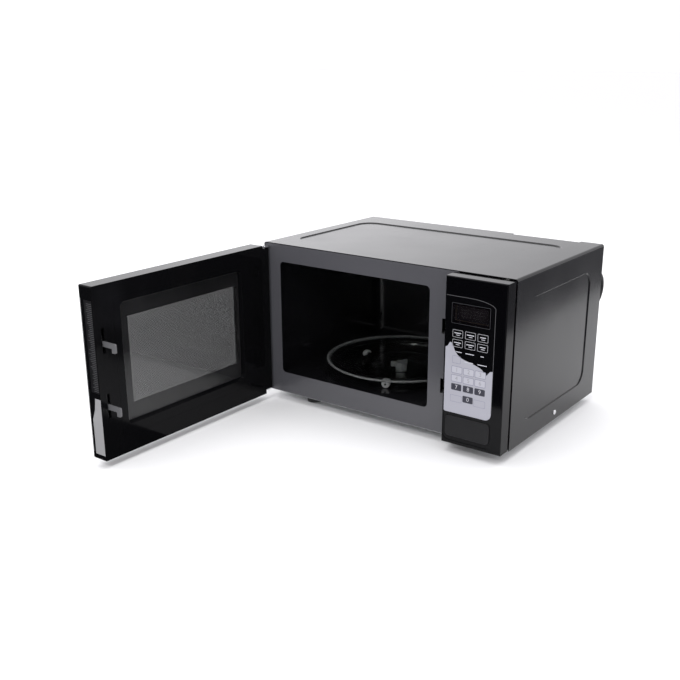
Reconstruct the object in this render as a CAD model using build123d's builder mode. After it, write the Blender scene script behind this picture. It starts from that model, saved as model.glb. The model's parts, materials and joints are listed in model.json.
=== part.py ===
"""Countertop microwave oven with its door standing open.

Millimetres. +X is to the right seen from the front, -Y is the front, +Z is up.
The origin is on the worktop, under the middle of the body.
"""

from build123d import *
from math import cos, pi, radians, sin, tan
import os

# ---------------------------------------------------------------- driving dimensions
body_width = 440.0
cover_height = 244.0
foot_height = 14.0
sheet = 1.0

half_width = body_width / 2
base_z = foot_height
top_z = foot_height + cover_height
front_y = -143.0  # face of the front frame
cover_front_y = front_y + 0.4
cover_rear_y = 151.0
rear_panel_y = cover_rear_y - sheet  # outer face of the rear panel
gap = 0.2  # between sheets that are fixed to each other
emboss_depth = 1.5

# Oven cavity, inside faces
cavity_x = (-200.0, 98.0)
cavity_z = (45.0, 236.0)
cavity_rear_y = 147.0
cavity_corner = 15.0

# Hole in the front frame
opening_x = (-188.3, 86.0)
opening_z = (48.5, 230.0)
opening_corner = 7.0
frame_right_x = 131.0

# Turntable
table_axis = (-51.0, -3.0)
table_radius = 122.5
recess_radius = 128.0
recess_z = 38.0
wheel_radius = 6.6
wheel_circle = 84.0
wheel_width = 8.0
wheel_angles = (47.0, 167.0, 287.0)
wheel_axle_radius = 1.5
running_gap = 0.3
wheel_z = recess_z + running_gap + wheel_radius
plate_z = wheel_z + wheel_radius + running_gap

# Door, as it stands when closed
door_x = (-220.0, 122.2)
door_z = (12.2, 255.4)
door_inner_y = -144.5
door_seam_y = -162.5  # where the front bezel meets the frame
bezel_y = -170.1
glass_y = -171.6
door_wall = 2.5
hinge_x = -215.35
hinge_y = -153.05
pin_radius = 2.0
pin_fit = 0.05
hinge_notch_x = -206.0
hinge_notch_z = (19.6, 250.0)  # the door is cut back below and above these
screen_y = -151.5  # cavity side of the steel screen
choke_x = (-202.5, 89.5)
choke_z = (37.5, 233.5)
recess_x = (-158.0, 78.0)
recess_edge_z = (52.0, 226.0)

# Door latch
hook_x = 109.0
hook_thickness = 2.5
hook_tip_y = -120.5
hook_drop_y = -128.0
lower_arm_z = (84.0, 91.0)
upper_arm_z = (172.5, 179.5)
lower_tip_z = 78.0
upper_tip_z = 166.5
latch_y = (-158.0, -149.0)
latch_z = (70.0, 186.0)

# Control fascia
fascia_x = (125.7, 218.9)
fascia_z = (15.0, 256.0)
fascia_front_y = -167.5
fascia_rear_y = -145.5
fascia_wall = 2.5
display_x = (138.0, 194.0)
display_z = (193.0, 219.0)
membrane_x = (128.0, 203.0)
membrane_z = (62.0, 230.0)
button_x = (131.5, 201.0)
button_z = (26.5, 57.5)
button_recess_x = (127.5, 204.0)
button_recess_z = (20.0, 63.5)
lever_axis = (-133.0, 56.0)  # y, z
lever_push_z = 40.0
lever_radius = 2.5

# Parts in the side compartment
magnetron_axis = (-10.0, 155.0)  # y, z
waveguide_x = (99.0, 124.0)
fan_axis = (152.0, 150.0)  # x, z
fan_radius = 40.0

# Mains lead
cord_radius = 3.25
cord_x = 201.0
cord_exit_z = 204.0
cord_exit_y = 170.0
coil_centre = (128.0, 218.0)
coil_inner_radius = 32.5
coil_outer_radius = 46.0
coil_height = 13.0

parts = {}


def keep(name, builder):
    """Label a finished piece and list it for export."""
    shape = builder.part
    shape.label = name
    parts[name] = shape


def front_plane(y, x=0, z=0):
    """A plane across the oven at y; its sketches read x, z and extrude towards the front."""
    return Plane(origin=(x, y, z), x_dir=(1, 0, 0), z_dir=(0, -1, 0))


def block(x, y, z, mode=Mode.ADD):
    """A box between two corners, given as three (low, high) pairs."""
    with Locations(((x[0] + x[1]) / 2, (y[0] + y[1]) / 2, (z[0] + z[1]) / 2)):
        return Box(x[1] - x[0], y[1] - y[0], z[1] - z[0], mode=mode)


def rounded_panel(x, y, z, radius, mode=Mode.ADD, taper=0):
    """An upright panel with rounded corners, facing the front, from y[0] back to y[1]."""
    with BuildSketch(front_plane(y[1])) as outline:
        with Locations(((x[0] + x[1]) / 2, (z[0] + z[1]) / 2)):
            RectangleRounded(x[1] - x[0], z[1] - z[0], radius)
    return extrude(outline.sketch, amount=y[1] - y[0], taper=taper, mode=mode)


def rod(start, end, radius, mode=Mode.ADD):
    """A round bar between two points."""
    axis = Vector(*end) - Vector(*start)
    with BuildSketch(Plane(origin=start, z_dir=axis)) as section:
        Circle(radius)
    return extrude(section.sketch, amount=axis.length, mode=mode)


def slots_on(plane, columns, rows, pitch, length, width, depth):
    """A grid of vent slots cut through a sheet."""
    with BuildSketch(plane) as grid:
        with GridLocations(pitch[0], pitch[1], columns, rows):
            SlotOverall(length, width)
    extrude(grid.sketch, amount=depth, both=True, mode=Mode.SUBTRACT)


def inset(pair, amount):
    return (pair[0] + amount, pair[1] - amount)


def coil_spring(plane, radius, wire, height, turns):
    """A round-wire spring that stands on the given plane."""
    pitch = (height - 2 * wire) / turns
    foot = plane.origin + plane.z_dir * wire
    with BuildPart() as spring:
        with BuildLine():
            path = Helix(pitch=pitch, height=pitch * turns, radius=radius, center=tuple(foot),
                         direction=tuple(plane.z_dir))
        with BuildSketch(Plane(origin=path @ 0, z_dir=path % 0)):
            Circle(wire)
        sweep(is_frenet=True)
    return spring


# ---------------------------------------------------------------- outer cover
screw_y, screw_z = 3.0, 26.5
screw_hole_radius = 2.1
flange_width = 10.0
cover_corner = 4.0
notch_x = (65.0, 182.0)
notch_y = 143.5
notch_z = 245.0
side_screws = [(x, z) for x in (-214.0, 214.0) for z in (60.0, 200.0)]
top_screws = [(x, 252.0) for x in (-160.0, -20.0, 196.0)]
rear_screws = side_screws + top_screws

with BuildPart() as cover:
    block((-half_width, half_width), (cover_front_y, cover_rear_y), (base_z, top_z))
    fillet(cover.faces().sort_by(Axis.Z)[-1].edges().filter_by(Axis.Y), radius=cover_corner)
    with BuildPart(mode=Mode.PRIVATE) as inside:
        block(inset((-half_width, half_width), sheet), (cover_front_y - 1, cover_rear_y + 1),
              (base_z - 1, top_z - sheet))
        fillet(inside.faces().sort_by(Axis.Z)[-1].edges().filter_by(Axis.Y), radius=cover_corner - sheet)
    add(inside.part, mode=Mode.SUBTRACT)
    # rear flange, over the edge of the rear panel
    with BuildSketch(front_plane(cover_rear_y)) as rim:
        with Locations((0, base_z + (cover_height - 2 * sheet) / 2)):
            Rectangle(body_width - sheet, cover_height - 2 * sheet)
        with Locations((0, base_z + (cover_height - sheet - flange_width) / 2)):
            Rectangle(body_width - 2 * (sheet + flange_width), cover_height - sheet - flange_width,
                      mode=Mode.SUBTRACT)
    extrude(amount=sheet)
    block(notch_x, (notch_y, cover_rear_y + 1), (notch_z, top_z + 1), Mode.SUBTRACT)
    # recessed panels on the top and the sides
    top_panel = (375.0, 202.0, 25.0)
    top_middle = (-7.5, 0.0)
    with BuildSketch(Plane.XY.offset(top_z - sheet)):
        with Locations(top_middle):
            RectangleRounded(top_panel[0] + 2, top_panel[1] + 2, top_panel[2] + 1)
    extrude(amount=-emboss_depth)
    with BuildSketch(Plane.XY.offset(top_z - emboss_depth)):
        with Locations(top_middle):
            RectangleRounded(top_panel[0] - 2 * emboss_depth, top_panel[1] - 2 * emboss_depth,
                             top_panel[2] - emboss_depth)
    with BuildSketch(Plane.XY.offset(top_z)):
        with Locations(top_middle):
            RectangleRounded(*top_panel)
    loft(mode=Mode.SUBTRACT)
    side_panel = (212.0, 180.0, 22.0)
    side_middle = (1.0, 134.0)
    for side in (-1, 1):
        inner_face = Plane(origin=(side * (half_width - sheet), 0, 0), x_dir=(0, 1, 0), z_dir=(1, 0, 0))
        with BuildSketch(inner_face):
            with Locations(side_middle):
                RectangleRounded(side_panel[0] + 2, side_panel[1] + 2, side_panel[2] + 1)
        extrude(amount=-side * emboss_depth)
        floor_face = Plane(origin=(side * (half_width - emboss_depth), 0, 0), x_dir=(0, 1, 0),
                           z_dir=(1, 0, 0))
        outer_face = Plane(origin=(side * half_width, 0, 0), x_dir=(0, 1, 0), z_dir=(1, 0, 0))
        with BuildSketch(floor_face):
            with Locations(side_middle):
                RectangleRounded(side_panel[0] - 2 * emboss_depth, side_panel[1] - 2 * emboss_depth,
                                 side_panel[2] - emboss_depth)
        with BuildSketch(outer_face):
            with Locations(side_middle):
                RectangleRounded(*side_panel)
        loft(mode=Mode.SUBTRACT)
    rod((-half_width - 1, screw_y, screw_z), (half_width + 1, screw_y, screw_z), screw_hole_radius,
        Mode.SUBTRACT)
    for x, z in rear_screws:
        rod((x, cover_rear_y - 2, z), (x, cover_rear_y + 1, z), screw_hole_radius, Mode.SUBTRACT)
keep("outer_cover", cover)

# ---------------------------------------------------------------- case screws
shank_radius = 1.9
head_radius = 3.8
head_height = 2.2
with BuildPart() as screws:
    for side in (-1, 1):
        rod((side * 214.0, screw_y, screw_z), (side * half_width, screw_y, screw_z), shank_radius)
        rod((side * half_width, screw_y, screw_z), (side * (half_width + head_height), screw_y, screw_z),
            head_radius)
    for x, z in rear_screws:
        rod((x, cover_rear_y - 8, z), (x, cover_rear_y, z), shank_radius)
        rod((x, cover_rear_y, z), (x, cover_rear_y + head_height, z), head_radius)
    outer_rims = [edge for edge in screws.edges().filter_by(GeomType.CIRCLE) if edge.radius == head_radius]
    tops = [edge for edge in outer_rims
            if abs(edge.center().X) > half_width + 1 or edge.center().Y > cover_rear_y + 1]
    fillet(tops, radius=1.2)
keep("case_screws", screws)

# ---------------------------------------------------------------- base plate and feet
foot_places = [(x, y) for x in (-145.0, 145.0) for y in (-115.0, 115.0)]
base_edge_x = half_width - sheet - gap
base_flange_top = 32.0
with BuildPart() as base:
    block((-base_edge_x, base_edge_x), (front_y + 1.2, cavity_rear_y + 1.8), (base_z, base_z + sheet))
    for side in (-1, 1):
        flange_x = sorted((side * base_edge_x, side * (base_edge_x - sheet)))
        block(flange_x, (-127.0, cavity_rear_y + 1.8), (base_z, base_flange_top))
    rod((-half_width, screw_y, screw_z), (half_width, screw_y, screw_z), screw_hole_radius, Mode.SUBTRACT)
    for x, y in foot_places:
        rod((x, y, base_z - 1), (x, y, base_z + 2), 2.6, Mode.SUBTRACT)
    slots_on(Plane(origin=(165.0, 60.0, base_z)), 4, 5, (14.0, 9.0), 10.0, 3.0, 3.0)
    slots_on(Plane(origin=(-150.0, 0.0, base_z)), 3, 5, (14.0, 9.0), 10.0, 3.0, 3.0)
keep("base_plate", base)

with BuildPart() as feet:
    for x, y in foot_places:
        with BuildSketch(Plane.XY.offset(foot_height)):
            with Locations((x, y)):
                Circle(13.0)
        extrude(amount=-foot_height, taper=6)
        rod((x, y, foot_height), (x, y, foot_height + 1.4), 2.4)
        rod((x, y, foot_height + 1.2), (x, y, foot_height + 4), 3.4)
keep("feet", feet)

# ---------------------------------------------------------------- front frame
frame_lip = 14.0
hook_slot_x = (107.2, 112.4)  # wide enough for the hook tips on their arc
hook_lift = 6.0
hook_clearance = 1.5
bracket_thickness = 1.6
lower_bracket_z = 17.4
upper_bracket_z = 251.0
bracket_x = (-217.6, -208.0)
with BuildPart() as frame:
    frame_left = -base_edge_x
    block((frame_left, frame_right_x), (front_y, front_y + sheet), (15.0, 256.8))
    block((frame_left, frame_right_x), (front_y + sheet, front_y + frame_lip), (255.8, 256.8))
    block((frame_left, frame_right_x), (front_y + sheet, front_y + frame_lip), (15.2, 16.2))
    block((frame_left, frame_left + sheet), (front_y + sheet, front_y + frame_lip), (15.2, 256.8))
    top_left = frame.edges().filter_by(Axis.Y).group_by(Axis.X)[0].group_by(Axis.Z)[-1]
    fillet(top_left, radius=cover_corner - sheet)
    rounded_panel(opening_x, (front_y - 1, front_y + 2), opening_z, opening_corner, Mode.SUBTRACT)
    for tip_z, arm_z in ((lower_tip_z, lower_arm_z), (upper_tip_z, upper_arm_z)):
        slot_z = (tip_z - hook_clearance, arm_z[1] + hook_lift + hook_clearance)
        block(hook_slot_x, (front_y - 1, front_y + 2), slot_z, Mode.SUBTRACT)
    for z in (lower_bracket_z, upper_bracket_z):
        block(inset(bracket_x, -gap), (front_y - 1, front_y + sheet + 0.1),
              (z - gap, z + bracket_thickness + gap), Mode.SUBTRACT)
keep("front_frame", frame)

# ---------------------------------------------------------------- oven cavity
vent_radius = 1.6
port_y = (-75.0, -15.0)
port_z = (125.0, 185.0)
with BuildPart() as cavity:
    front_edge = front_y + sheet
    outer_x = inset(cavity_x, -sheet)
    outer_z = inset(cavity_z, -sheet)
    block(outer_x, (front_edge, cavity_rear_y + sheet), outer_z)
    rear_edges = cavity.faces().sort_by(Axis.Y)[-1].edges()
    fillet(rear_edges, radius=cavity_corner + sheet)
    # outward flange, against the back of the front frame
    block((-207.0, 105.0), (front_edge, front_edge + sheet), (38.0, 243.0))
    # boss under the floor for the turntable recess
    rod((*table_axis, recess_z - sheet), (*table_axis, cavity_z[0]), recess_radius + sheet)
    with BuildPart(mode=Mode.PRIVATE) as hollow:
        block(cavity_x, (front_edge, cavity_rear_y), cavity_z)
        fillet(hollow.faces().sort_by(Axis.Y)[-1].edges(), radius=cavity_corner)
    add(hollow.part, mode=Mode.SUBTRACT)
    with BuildSketch(Plane.XY.offset(recess_z)):
        with Locations(table_axis):
            Circle(recess_radius - 4)
    with BuildSketch(Plane.XY.offset(cavity_z[0])):
        with Locations(table_axis):
            Circle(recess_radius)
    loft(mode=Mode.SUBTRACT)
    rod((*table_axis, recess_z - 3), (*table_axis, recess_z + 3), 5.0, Mode.SUBTRACT)
    # raised panel pressed into the back wall
    press_x, press_z = (-151.0, 49.0), (86.0, 205.0)
    rounded_panel(press_x, (cavity_rear_y - 2.5, cavity_rear_y + 0.5), press_z, 12.0)
    rounded_panel(inset(press_x, sheet), (cavity_rear_y - 1.5, cavity_rear_y + 2), inset(press_z, sheet),
                  11.0, Mode.SUBTRACT)
    # energy port, lamp vents and steam vents
    block((cavity_x[1] - 1, cavity_x[1] + 2), port_y, port_z, Mode.SUBTRACT)
    for x, y, z in ((cavity_x[1], 45.0, 205.0), (cavity_x[0], -95.0, 110.0)):
        with BuildSketch(Plane(origin=(x, y, z), x_dir=(0, 1, 0), z_dir=(1, 0, 0))):
            with GridLocations(6.0, 6.0, 5, 4):
                Circle(vent_radius)
        extrude(amount=3, both=True, mode=Mode.SUBTRACT)
keep("oven_cavity", cavity)

# ---------------------------------------------------------------- rear panel
bump_x = (notch_x[0] + 1, notch_x[1] - 1)
bump_z = (60.0, 250.0)
bump_depth = 9.0
with BuildPart() as rear:
    rear_z = (base_z + gap, 256.4)
    block((-base_edge_x + gap, base_edge_x - gap), (rear_panel_y - sheet, rear_panel_y), rear_z)
    fillet(rear.edges().filter_by(Axis.Y).group_by(Axis.Z)[-1], radius=cover_corner - sheet)
    rounded_panel(bump_x, (rear_panel_y - 0.5, rear_panel_y + bump_depth), bump_z, 10.0)
    rounded_panel(inset(bump_x, sheet), (rear_panel_y - 2, rear_panel_y + bump_depth - sheet),
                  inset(bump_z, sheet), 9.0, Mode.SUBTRACT)
    slots_on(front_plane(rear_panel_y + bump_depth, 123.5, 160.0), 5, 13, (21.0, 9.0), 17.0,
             3.5, 3.0)
    slots_on(front_plane(rear_panel_y, -60.0, 215.0), 8, 3, (21.0, 9.0), 17.0, 3.5, 3.0)
    relief_hole = 6.5
    rod((cord_x, rear_panel_y - 3, cord_exit_z), (cord_x, rear_panel_y + 3, cord_exit_z), relief_hole,
        Mode.SUBTRACT)
    for x, z in rear_screws:
        rod((x, rear_panel_y - 3, z), (x, rear_panel_y + 1, z), screw_hole_radius, Mode.SUBTRACT)
keep("rear_panel", rear)

# ---------------------------------------------------------------- turntable
table_spin = Axis((*table_axis, 0), (0, 0, 1))
table_section = Plane(origin=(*table_axis, 0), x_dir=(1, 0, 0), z_dir=(0, -1, 0))
glass_thickness = 4.2
flat_radius = 92.0
rim_z = plate_z + 12.2
with BuildPart() as plate:
    with BuildSketch(table_section):
        with BuildLine():
            under = Spline((flat_radius, plate_z), (flat_radius + 16, plate_z + 3.2),
                           (table_radius - 1, rim_z - 3.5), tangents=((1, 0), (1, 0.5)))
            lip = Polyline(under @ 1, (table_radius, rim_z - 1.2), (table_radius - 1.2, rim_z),
                           (table_radius - 3.4, rim_z))
            over = Spline(lip @ 1, (flat_radius + 14, plate_z + glass_thickness + 2.8),
                          (flat_radius - 2, plate_z + glass_thickness), tangents=((-1, -0.6), (-1, 0)))
            Polyline(over @ 1, (0, plate_z + glass_thickness), (0, plate_z), (flat_radius, plate_z))
        make_face()
    revolve(axis=table_spin)
keep("glass_turntable", plate)

shaft_radius = 3.0
motor_top = recess_z - sheet - gap
with BuildPart() as coupler:
    rod((*table_axis, 28.0), (*table_axis, recess_z + 4), shaft_radius)
    rod((*table_axis, recess_z + 1.5), (*table_axis, plate_z - gap), 9.0)
    for angle in (90, 210, 330):
        arm = Plane(origin=(*table_axis, plate_z - 7),
                    x_dir=(cos(radians(angle)), sin(radians(angle)), 0))
        with BuildSketch(arm):
            with Locations((9.0, 0)):
                SlotOverall(16.0, 6.0)
        extrude(amount=6.8)
keep("turntable_coupler", coupler)

ring_z = (wheel_z - 2, wheel_z + 2)
with BuildPart() as ring:
    rod((*table_axis, ring_z[0]), (*table_axis, ring_z[1]), 75.0)
    rod((*table_axis, ring_z[0] - 1), (*table_axis, ring_z[1] + 1), 69.0, Mode.SUBTRACT)
    for angle in wheel_angles:
        out = Vector(cos(radians(angle)), sin(radians(angle)), 0)
        middle = Vector(*table_axis, wheel_z)
        rod(middle + out * 72, middle + out * (wheel_circle + wheel_width / 2 + 1.5), wheel_axle_radius)
        rod(middle + out * 72, middle + out * (wheel_circle - wheel_width / 2 - 0.4), 3.0)
keep("roller_ring", ring)

for number, angle in enumerate(wheel_angles, 1):
    out = Vector(cos(radians(angle)), sin(radians(angle)), 0)
    inner_end = Vector(*table_axis, wheel_z) + out * (wheel_circle - wheel_width / 2)
    outer_end = Vector(*table_axis, wheel_z) + out * (wheel_circle + wheel_width / 2)
    with BuildPart() as wheel:
        rod(inner_end, outer_end, wheel_radius)
        fillet(wheel.edges().filter_by(GeomType.CIRCLE), radius=1.2)
        rod(inner_end - out, outer_end + out, wheel_axle_radius + pin_fit, Mode.SUBTRACT)
    keep(f"roller_wheel_{number}", wheel)

with BuildPart() as table_motor:
    rod((*table_axis, 17.5), (*table_axis, motor_top), 24.5)
    with BuildSketch(Plane.XY.offset(motor_top - sheet)):
        with Locations(table_axis):
            SlotOverall(70.0, 14.0)
    extrude(amount=sheet)
    block((table_axis[0] - 9, table_axis[0] + 9), (table_axis[1] - 32, table_axis[1] - 20), (19.0, 31.0))
    rod((*table_axis, 27.5), (*table_axis, motor_top + 1), shaft_radius + pin_fit, Mode.SUBTRACT)
keep("turntable_motor", table_motor)

# ---------------------------------------------------------------- hinges
leaf_x = (-219.5, bracket_x[1])
leaf_y = (-158.0, front_y - gap)
with BuildPart() as upper_bracket:
    upper_leaf_z = (upper_bracket_z, upper_bracket_z + bracket_thickness)
    block(leaf_x, leaf_y, upper_leaf_z)
    block(bracket_x, (front_y - gap, -130.0), upper_leaf_z)
    block(bracket_x, (front_y + sheet, front_y + 2.6), (228.0, upper_bracket_z))
    rod((hinge_x, hinge_y, upper_bracket_z - 1), (hinge_x, hinge_y, upper_bracket_z + 3),
        pin_radius, Mode.SUBTRACT)
keep("upper_hinge_bracket", upper_bracket)

lower_bracket_top = lower_bracket_z + bracket_thickness
with BuildPart() as lower_bracket:
    block(leaf_x, leaf_y, (lower_bracket_z, lower_bracket_top))
    block(bracket_x, (front_y - gap, -130.0), (lower_bracket_z, lower_bracket_top))
    block(bracket_x, (front_y + sheet, front_y + 2.6), (lower_bracket_top, 42.0))
    rod((hinge_x, hinge_y, lower_bracket_z - 1), (hinge_x, hinge_y, lower_bracket_top + 1), pin_radius,
        Mode.SUBTRACT)
keep("lower_hinge_bracket", lower_bracket)

pin_length = 14.0
pin_head_radius = 3.2


def on_hinge(z):
    """A point of the hinge axis."""
    return (hinge_x, hinge_y, z)


upper_bracket_top = upper_bracket_z + bracket_thickness
with BuildPart() as pins:
    rod(on_hinge(hinge_notch_z[1] - pin_length), on_hinge(upper_bracket_top), pin_radius)
    rod(on_hinge(lower_bracket_z), on_hinge(hinge_notch_z[0] + pin_length), pin_radius)
    rod(on_hinge(upper_bracket_top), on_hinge(upper_bracket_top + 1.4), pin_head_radius)
    rod(on_hinge(lower_bracket_z - 1.2), on_hinge(lower_bracket_z), pin_head_radius)
keep("hinge_pins", pins)

# ---------------------------------------------------------------- door, built closed and then swung open
hinge_axis = Axis((hinge_x, hinge_y, 0), (0, 0, 1))
door_open_angle = -90.0


def keep_on_door(name, builder):
    """Swing a piece built in the closed door to the open position and keep it."""
    shape = builder.part.rotate(hinge_axis, door_open_angle)
    shape.label = name
    parts[name] = shape


def cut_hinge_corners():
    """The door is cut back at its two hinge corners to make room for the brackets."""
    corner_x = (door_x[0] - 1, hinge_notch_x)
    block(corner_x, (glass_y - 1, door_inner_y + 1), (door_z[0] - 1, hinge_notch_z[0]), Mode.SUBTRACT)
    block(corner_x, (glass_y - 1, door_inner_y + 1), (hinge_notch_z[1], door_z[1] + 1), Mode.SUBTRACT)


hook_slot = (hook_x - 2.5, hook_x + 2.5)
lower_slot_z = (72.0, 106.0)
upper_slot_z = (163.0, 197.0)
with BuildPart() as door_frame:
    rounded_panel(door_x, (door_seam_y, door_inner_y), door_z, 2.0)
    block(inset(door_x, door_wall), (door_seam_y - 1, door_inner_y - door_wall), inset(door_z, door_wall),
          Mode.SUBTRACT)
    # pin blocks and the walls of the hinge notches
    pin_block = 16.0
    notch_y_range = (door_seam_y, door_inner_y - 1)
    pin_block_x = (door_x[0] + 1, hinge_notch_x)
    notch_wall_x = (hinge_notch_x, hinge_notch_x + 2)
    block(pin_block_x, notch_y_range, (hinge_notch_z[0], hinge_notch_z[0] + pin_block))
    block(pin_block_x, notch_y_range, (hinge_notch_z[1] - pin_block, hinge_notch_z[1]))
    block(notch_wall_x, notch_y_range, (door_z[0] + 1, hinge_notch_z[0] + pin_block))
    block(notch_wall_x, notch_y_range, (hinge_notch_z[1] - pin_block, door_z[1] - 1))
    # latch rails and the post that the latch spring stands on
    for rail_x in ((103.0, hook_x - 1.6), (hook_x + 1.6, 115.0)):
        block(rail_x, (-159.0, door_inner_y - door_wall), (118.0, 142.0))
    block((103.0, 115.0), (-158.0, door_inner_y - door_wall), (36.0, 40.0))
    rounded_panel(inset(choke_x, -gap), (door_seam_y - 1, door_inner_y + 1), inset(choke_z, -gap), 8.2,
                  Mode.SUBTRACT)
    for slot_z in (lower_slot_z, upper_slot_z):
        block(hook_slot, (-150.0, door_inner_y + 1), slot_z, Mode.SUBTRACT)
    cut_hinge_corners()
    for z in (hinge_notch_z[0], hinge_notch_z[1] - pin_length - 1):
        rod(on_hinge(z - 1), on_hinge(z + pin_length + 1), pin_radius + pin_fit, Mode.SUBTRACT)
keep_on_door("door_frame", door_frame)

bezel_window_x, bezel_window_z = (-164.0, 84.0), (64.0, 226.0)
with BuildPart() as bezel:
    rounded_panel(door_x, (bezel_y, door_seam_y), door_z, 2.0)
    front_rim = bezel.faces().sort_by(Axis.Y)[0].edges()
    fillet(front_rim, radius=1.8)
    block(inset(door_x, door_wall), (bezel_y + door_wall, door_seam_y + 1), inset(door_z, door_wall),
          Mode.SUBTRACT)
    rounded_panel(bezel_window_x, (bezel_y - 1, door_seam_y), bezel_window_z, 6.0, Mode.SUBTRACT)
    cut_hinge_corners()
keep_on_door("door_bezel", bezel)

glass_x, glass_z = (-217.5, 119.5), (49.0, 240.0)
with BuildPart() as glass:
    with BuildSketch(Plane.YZ.offset(glass_x[0])):
        with BuildLine():
            Polyline((bezel_y, glass_z[0]), (glass_y, glass_z[0] + 9), (glass_y, glass_z[1] - 9),
                     (bezel_y, glass_z[1]), close=True)
        make_face()
    extrude(amount=glass_x[1] - glass_x[0])
keep_on_door("door_glass", glass)

skirt = 1.0
screen_x = (-199.7, 86.7)
screen_z = (40.3, 230.7)
with BuildPart() as screen:
    rounded_panel(screen_x, (screen_y - 9.5, screen_y), screen_z, 5.0)
    rounded_panel(inset(screen_x, skirt), (screen_y - 10.5, screen_y - 0.8), inset(screen_z, skirt), 4.0,
                  Mode.SUBTRACT)
keep_on_door("door_screen", screen)

groove_width, groove_depth = 14.0, 1.6
with BuildPart() as choke:
    rounded_panel(choke_x, (screen_y - 7, door_inner_y), choke_z, 8.0)
    rounded_panel(inset(choke_x, 2), (screen_y - 8, screen_y + 0.1), inset(choke_z, 2), 6.0,
                  Mode.SUBTRACT)
    # the opening over the screen, with sloping edges
    recess_width = recess_x[1] - recess_x[0]
    recess_height = recess_edge_z[1] - recess_edge_z[0]
    recess_middle = ((recess_x[0] + recess_x[1]) / 2, (recess_edge_z[0] + recess_edge_z[1]) / 2)
    slope = 5.0
    with BuildSketch(front_plane(door_inner_y)):
        with Locations(recess_middle):
            RectangleRounded(recess_width, recess_height, 8.0)
    with BuildSketch(front_plane(screen_y)):
        with Locations(recess_middle):
            RectangleRounded(recess_width - slope, recess_height - slope, 5.5)
    loft(mode=Mode.SUBTRACT)
    # two grooves beside the hinge
    for groove_z, groove_length in ((103.0, 82.0), (217.0, 20.0)):
        with BuildSketch(front_plane(door_inner_y)):
            with Locations((-188.5, groove_z)):
                SlotOverall(groove_length, groove_width, rotation=90)
        extrude(amount=groove_depth, mode=Mode.SUBTRACT)
keep_on_door("choke_cover", choke)

with BuildPart() as film:
    rounded_panel(inset(recess_x, 4), (screen_y, screen_y + 0.3), inset(recess_edge_z, 4), 3.0)
keep_on_door("door_film", film)

with BuildPart() as latch:
    latch_x = (hook_x - hook_thickness / 2, hook_x + hook_thickness / 2)
    block(latch_x, latch_y, latch_z)
    for arm_z, tip_z in ((lower_arm_z, lower_tip_z), (upper_arm_z, upper_tip_z)):
        block(latch_x, (latch_y[1] - 1, hook_tip_y), arm_z)
        block(latch_x, (hook_drop_y, hook_tip_y), (tip_z, arm_z[0] + 1))
    noses = latch.edges().filter_by(Axis.X).group_by(Axis.Y)[-1]
    fillet(noses, radius=2.0)
keep_on_door("door_latch", latch)

latch_spring = coil_spring(Plane(origin=(hook_x, -153.5, 40.0)), 3.0, 0.35, latch_z[0] - 40.0, 9)
keep_on_door("latch_spring", latch_spring)

# ---------------------------------------------------------------- latch holder and interlock switches
ledge_x = (103.0, 112.5)
with BuildPart() as holder:
    block((112.5, 118.0), (front_y + 2.2, -104.0), (46.0, 205.0))
    block(ledge_x, (front_y + 2.2, -130.0), (lower_tip_z - 5, lower_tip_z - 0.5))
    block(ledge_x, (front_y + 2.2, -130.0), (upper_tip_z - 5, upper_tip_z - 0.5))
    block((101.0, 118.0), (-104.0, -100.0), (46.0, 205.0))
    rod((110.0, *lever_axis), (120.0, *lever_axis), lever_radius + pin_fit, Mode.SUBTRACT)
    block((115.0, 119.0), (-136.0, -112.0), (110.0, 150.0), Mode.SUBTRACT)
keep("latch_holder", holder)

switch_y = (-118.0, -104.0)
plunger_fit = 0.1
switches_at = {"upper": (103.0, 112.3, 160.0, 188.0), "lower": (103.0, 112.3, 74.0, 102.0),
               "monitor": (118.2, 127.5, 74.0, 102.0)}
plunger_heights = {"upper": 175.0, "lower": 87.0}
with BuildPart() as switches:
    for x0, x1, z0, z1 in switches_at.values():
        block((x0, x1), switch_y, (z0, z1))
    for z in plunger_heights.values():
        block((hook_x - 1.5 - plunger_fit, hook_x + 1.5 + plunger_fit), (switch_y[0] - 1, switch_y[0] + 6),
              (z - 2 - plunger_fit, z + 2 + plunger_fit), Mode.SUBTRACT)
keep("interlock_switches", switches)

for name, z in plunger_heights.items():
    with BuildPart() as plunger:
        block((hook_x - 1.5, hook_x + 1.5), (switch_y[0] - 2.2, switch_y[0] + 3), (z - 2, z + 2))
    keep(f"{name}_switch_plunger", plunger)

# ---------------------------------------------------------------- release lever
with BuildPart() as lever:
    rod((104.0, *lever_axis), (140.0, *lever_axis), lever_radius)
    block((106.0, 111.5), (lever_axis[0], -120.5), (lever_axis[1] - 1.5, lever_axis[1] + 2.5))
    # this end stands just under the lower hook of the shut door and lifts it
    block((106.0, 111.5), (-124.0, -120.5), (lever_axis[1], lower_tip_z - 0.6))
    block((132.5, 139.5), (lever_axis[0] - lever_radius, lever_axis[0] + lever_radius), (34.0, lever_axis[1]))
keep("release_lever", lever)

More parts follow.
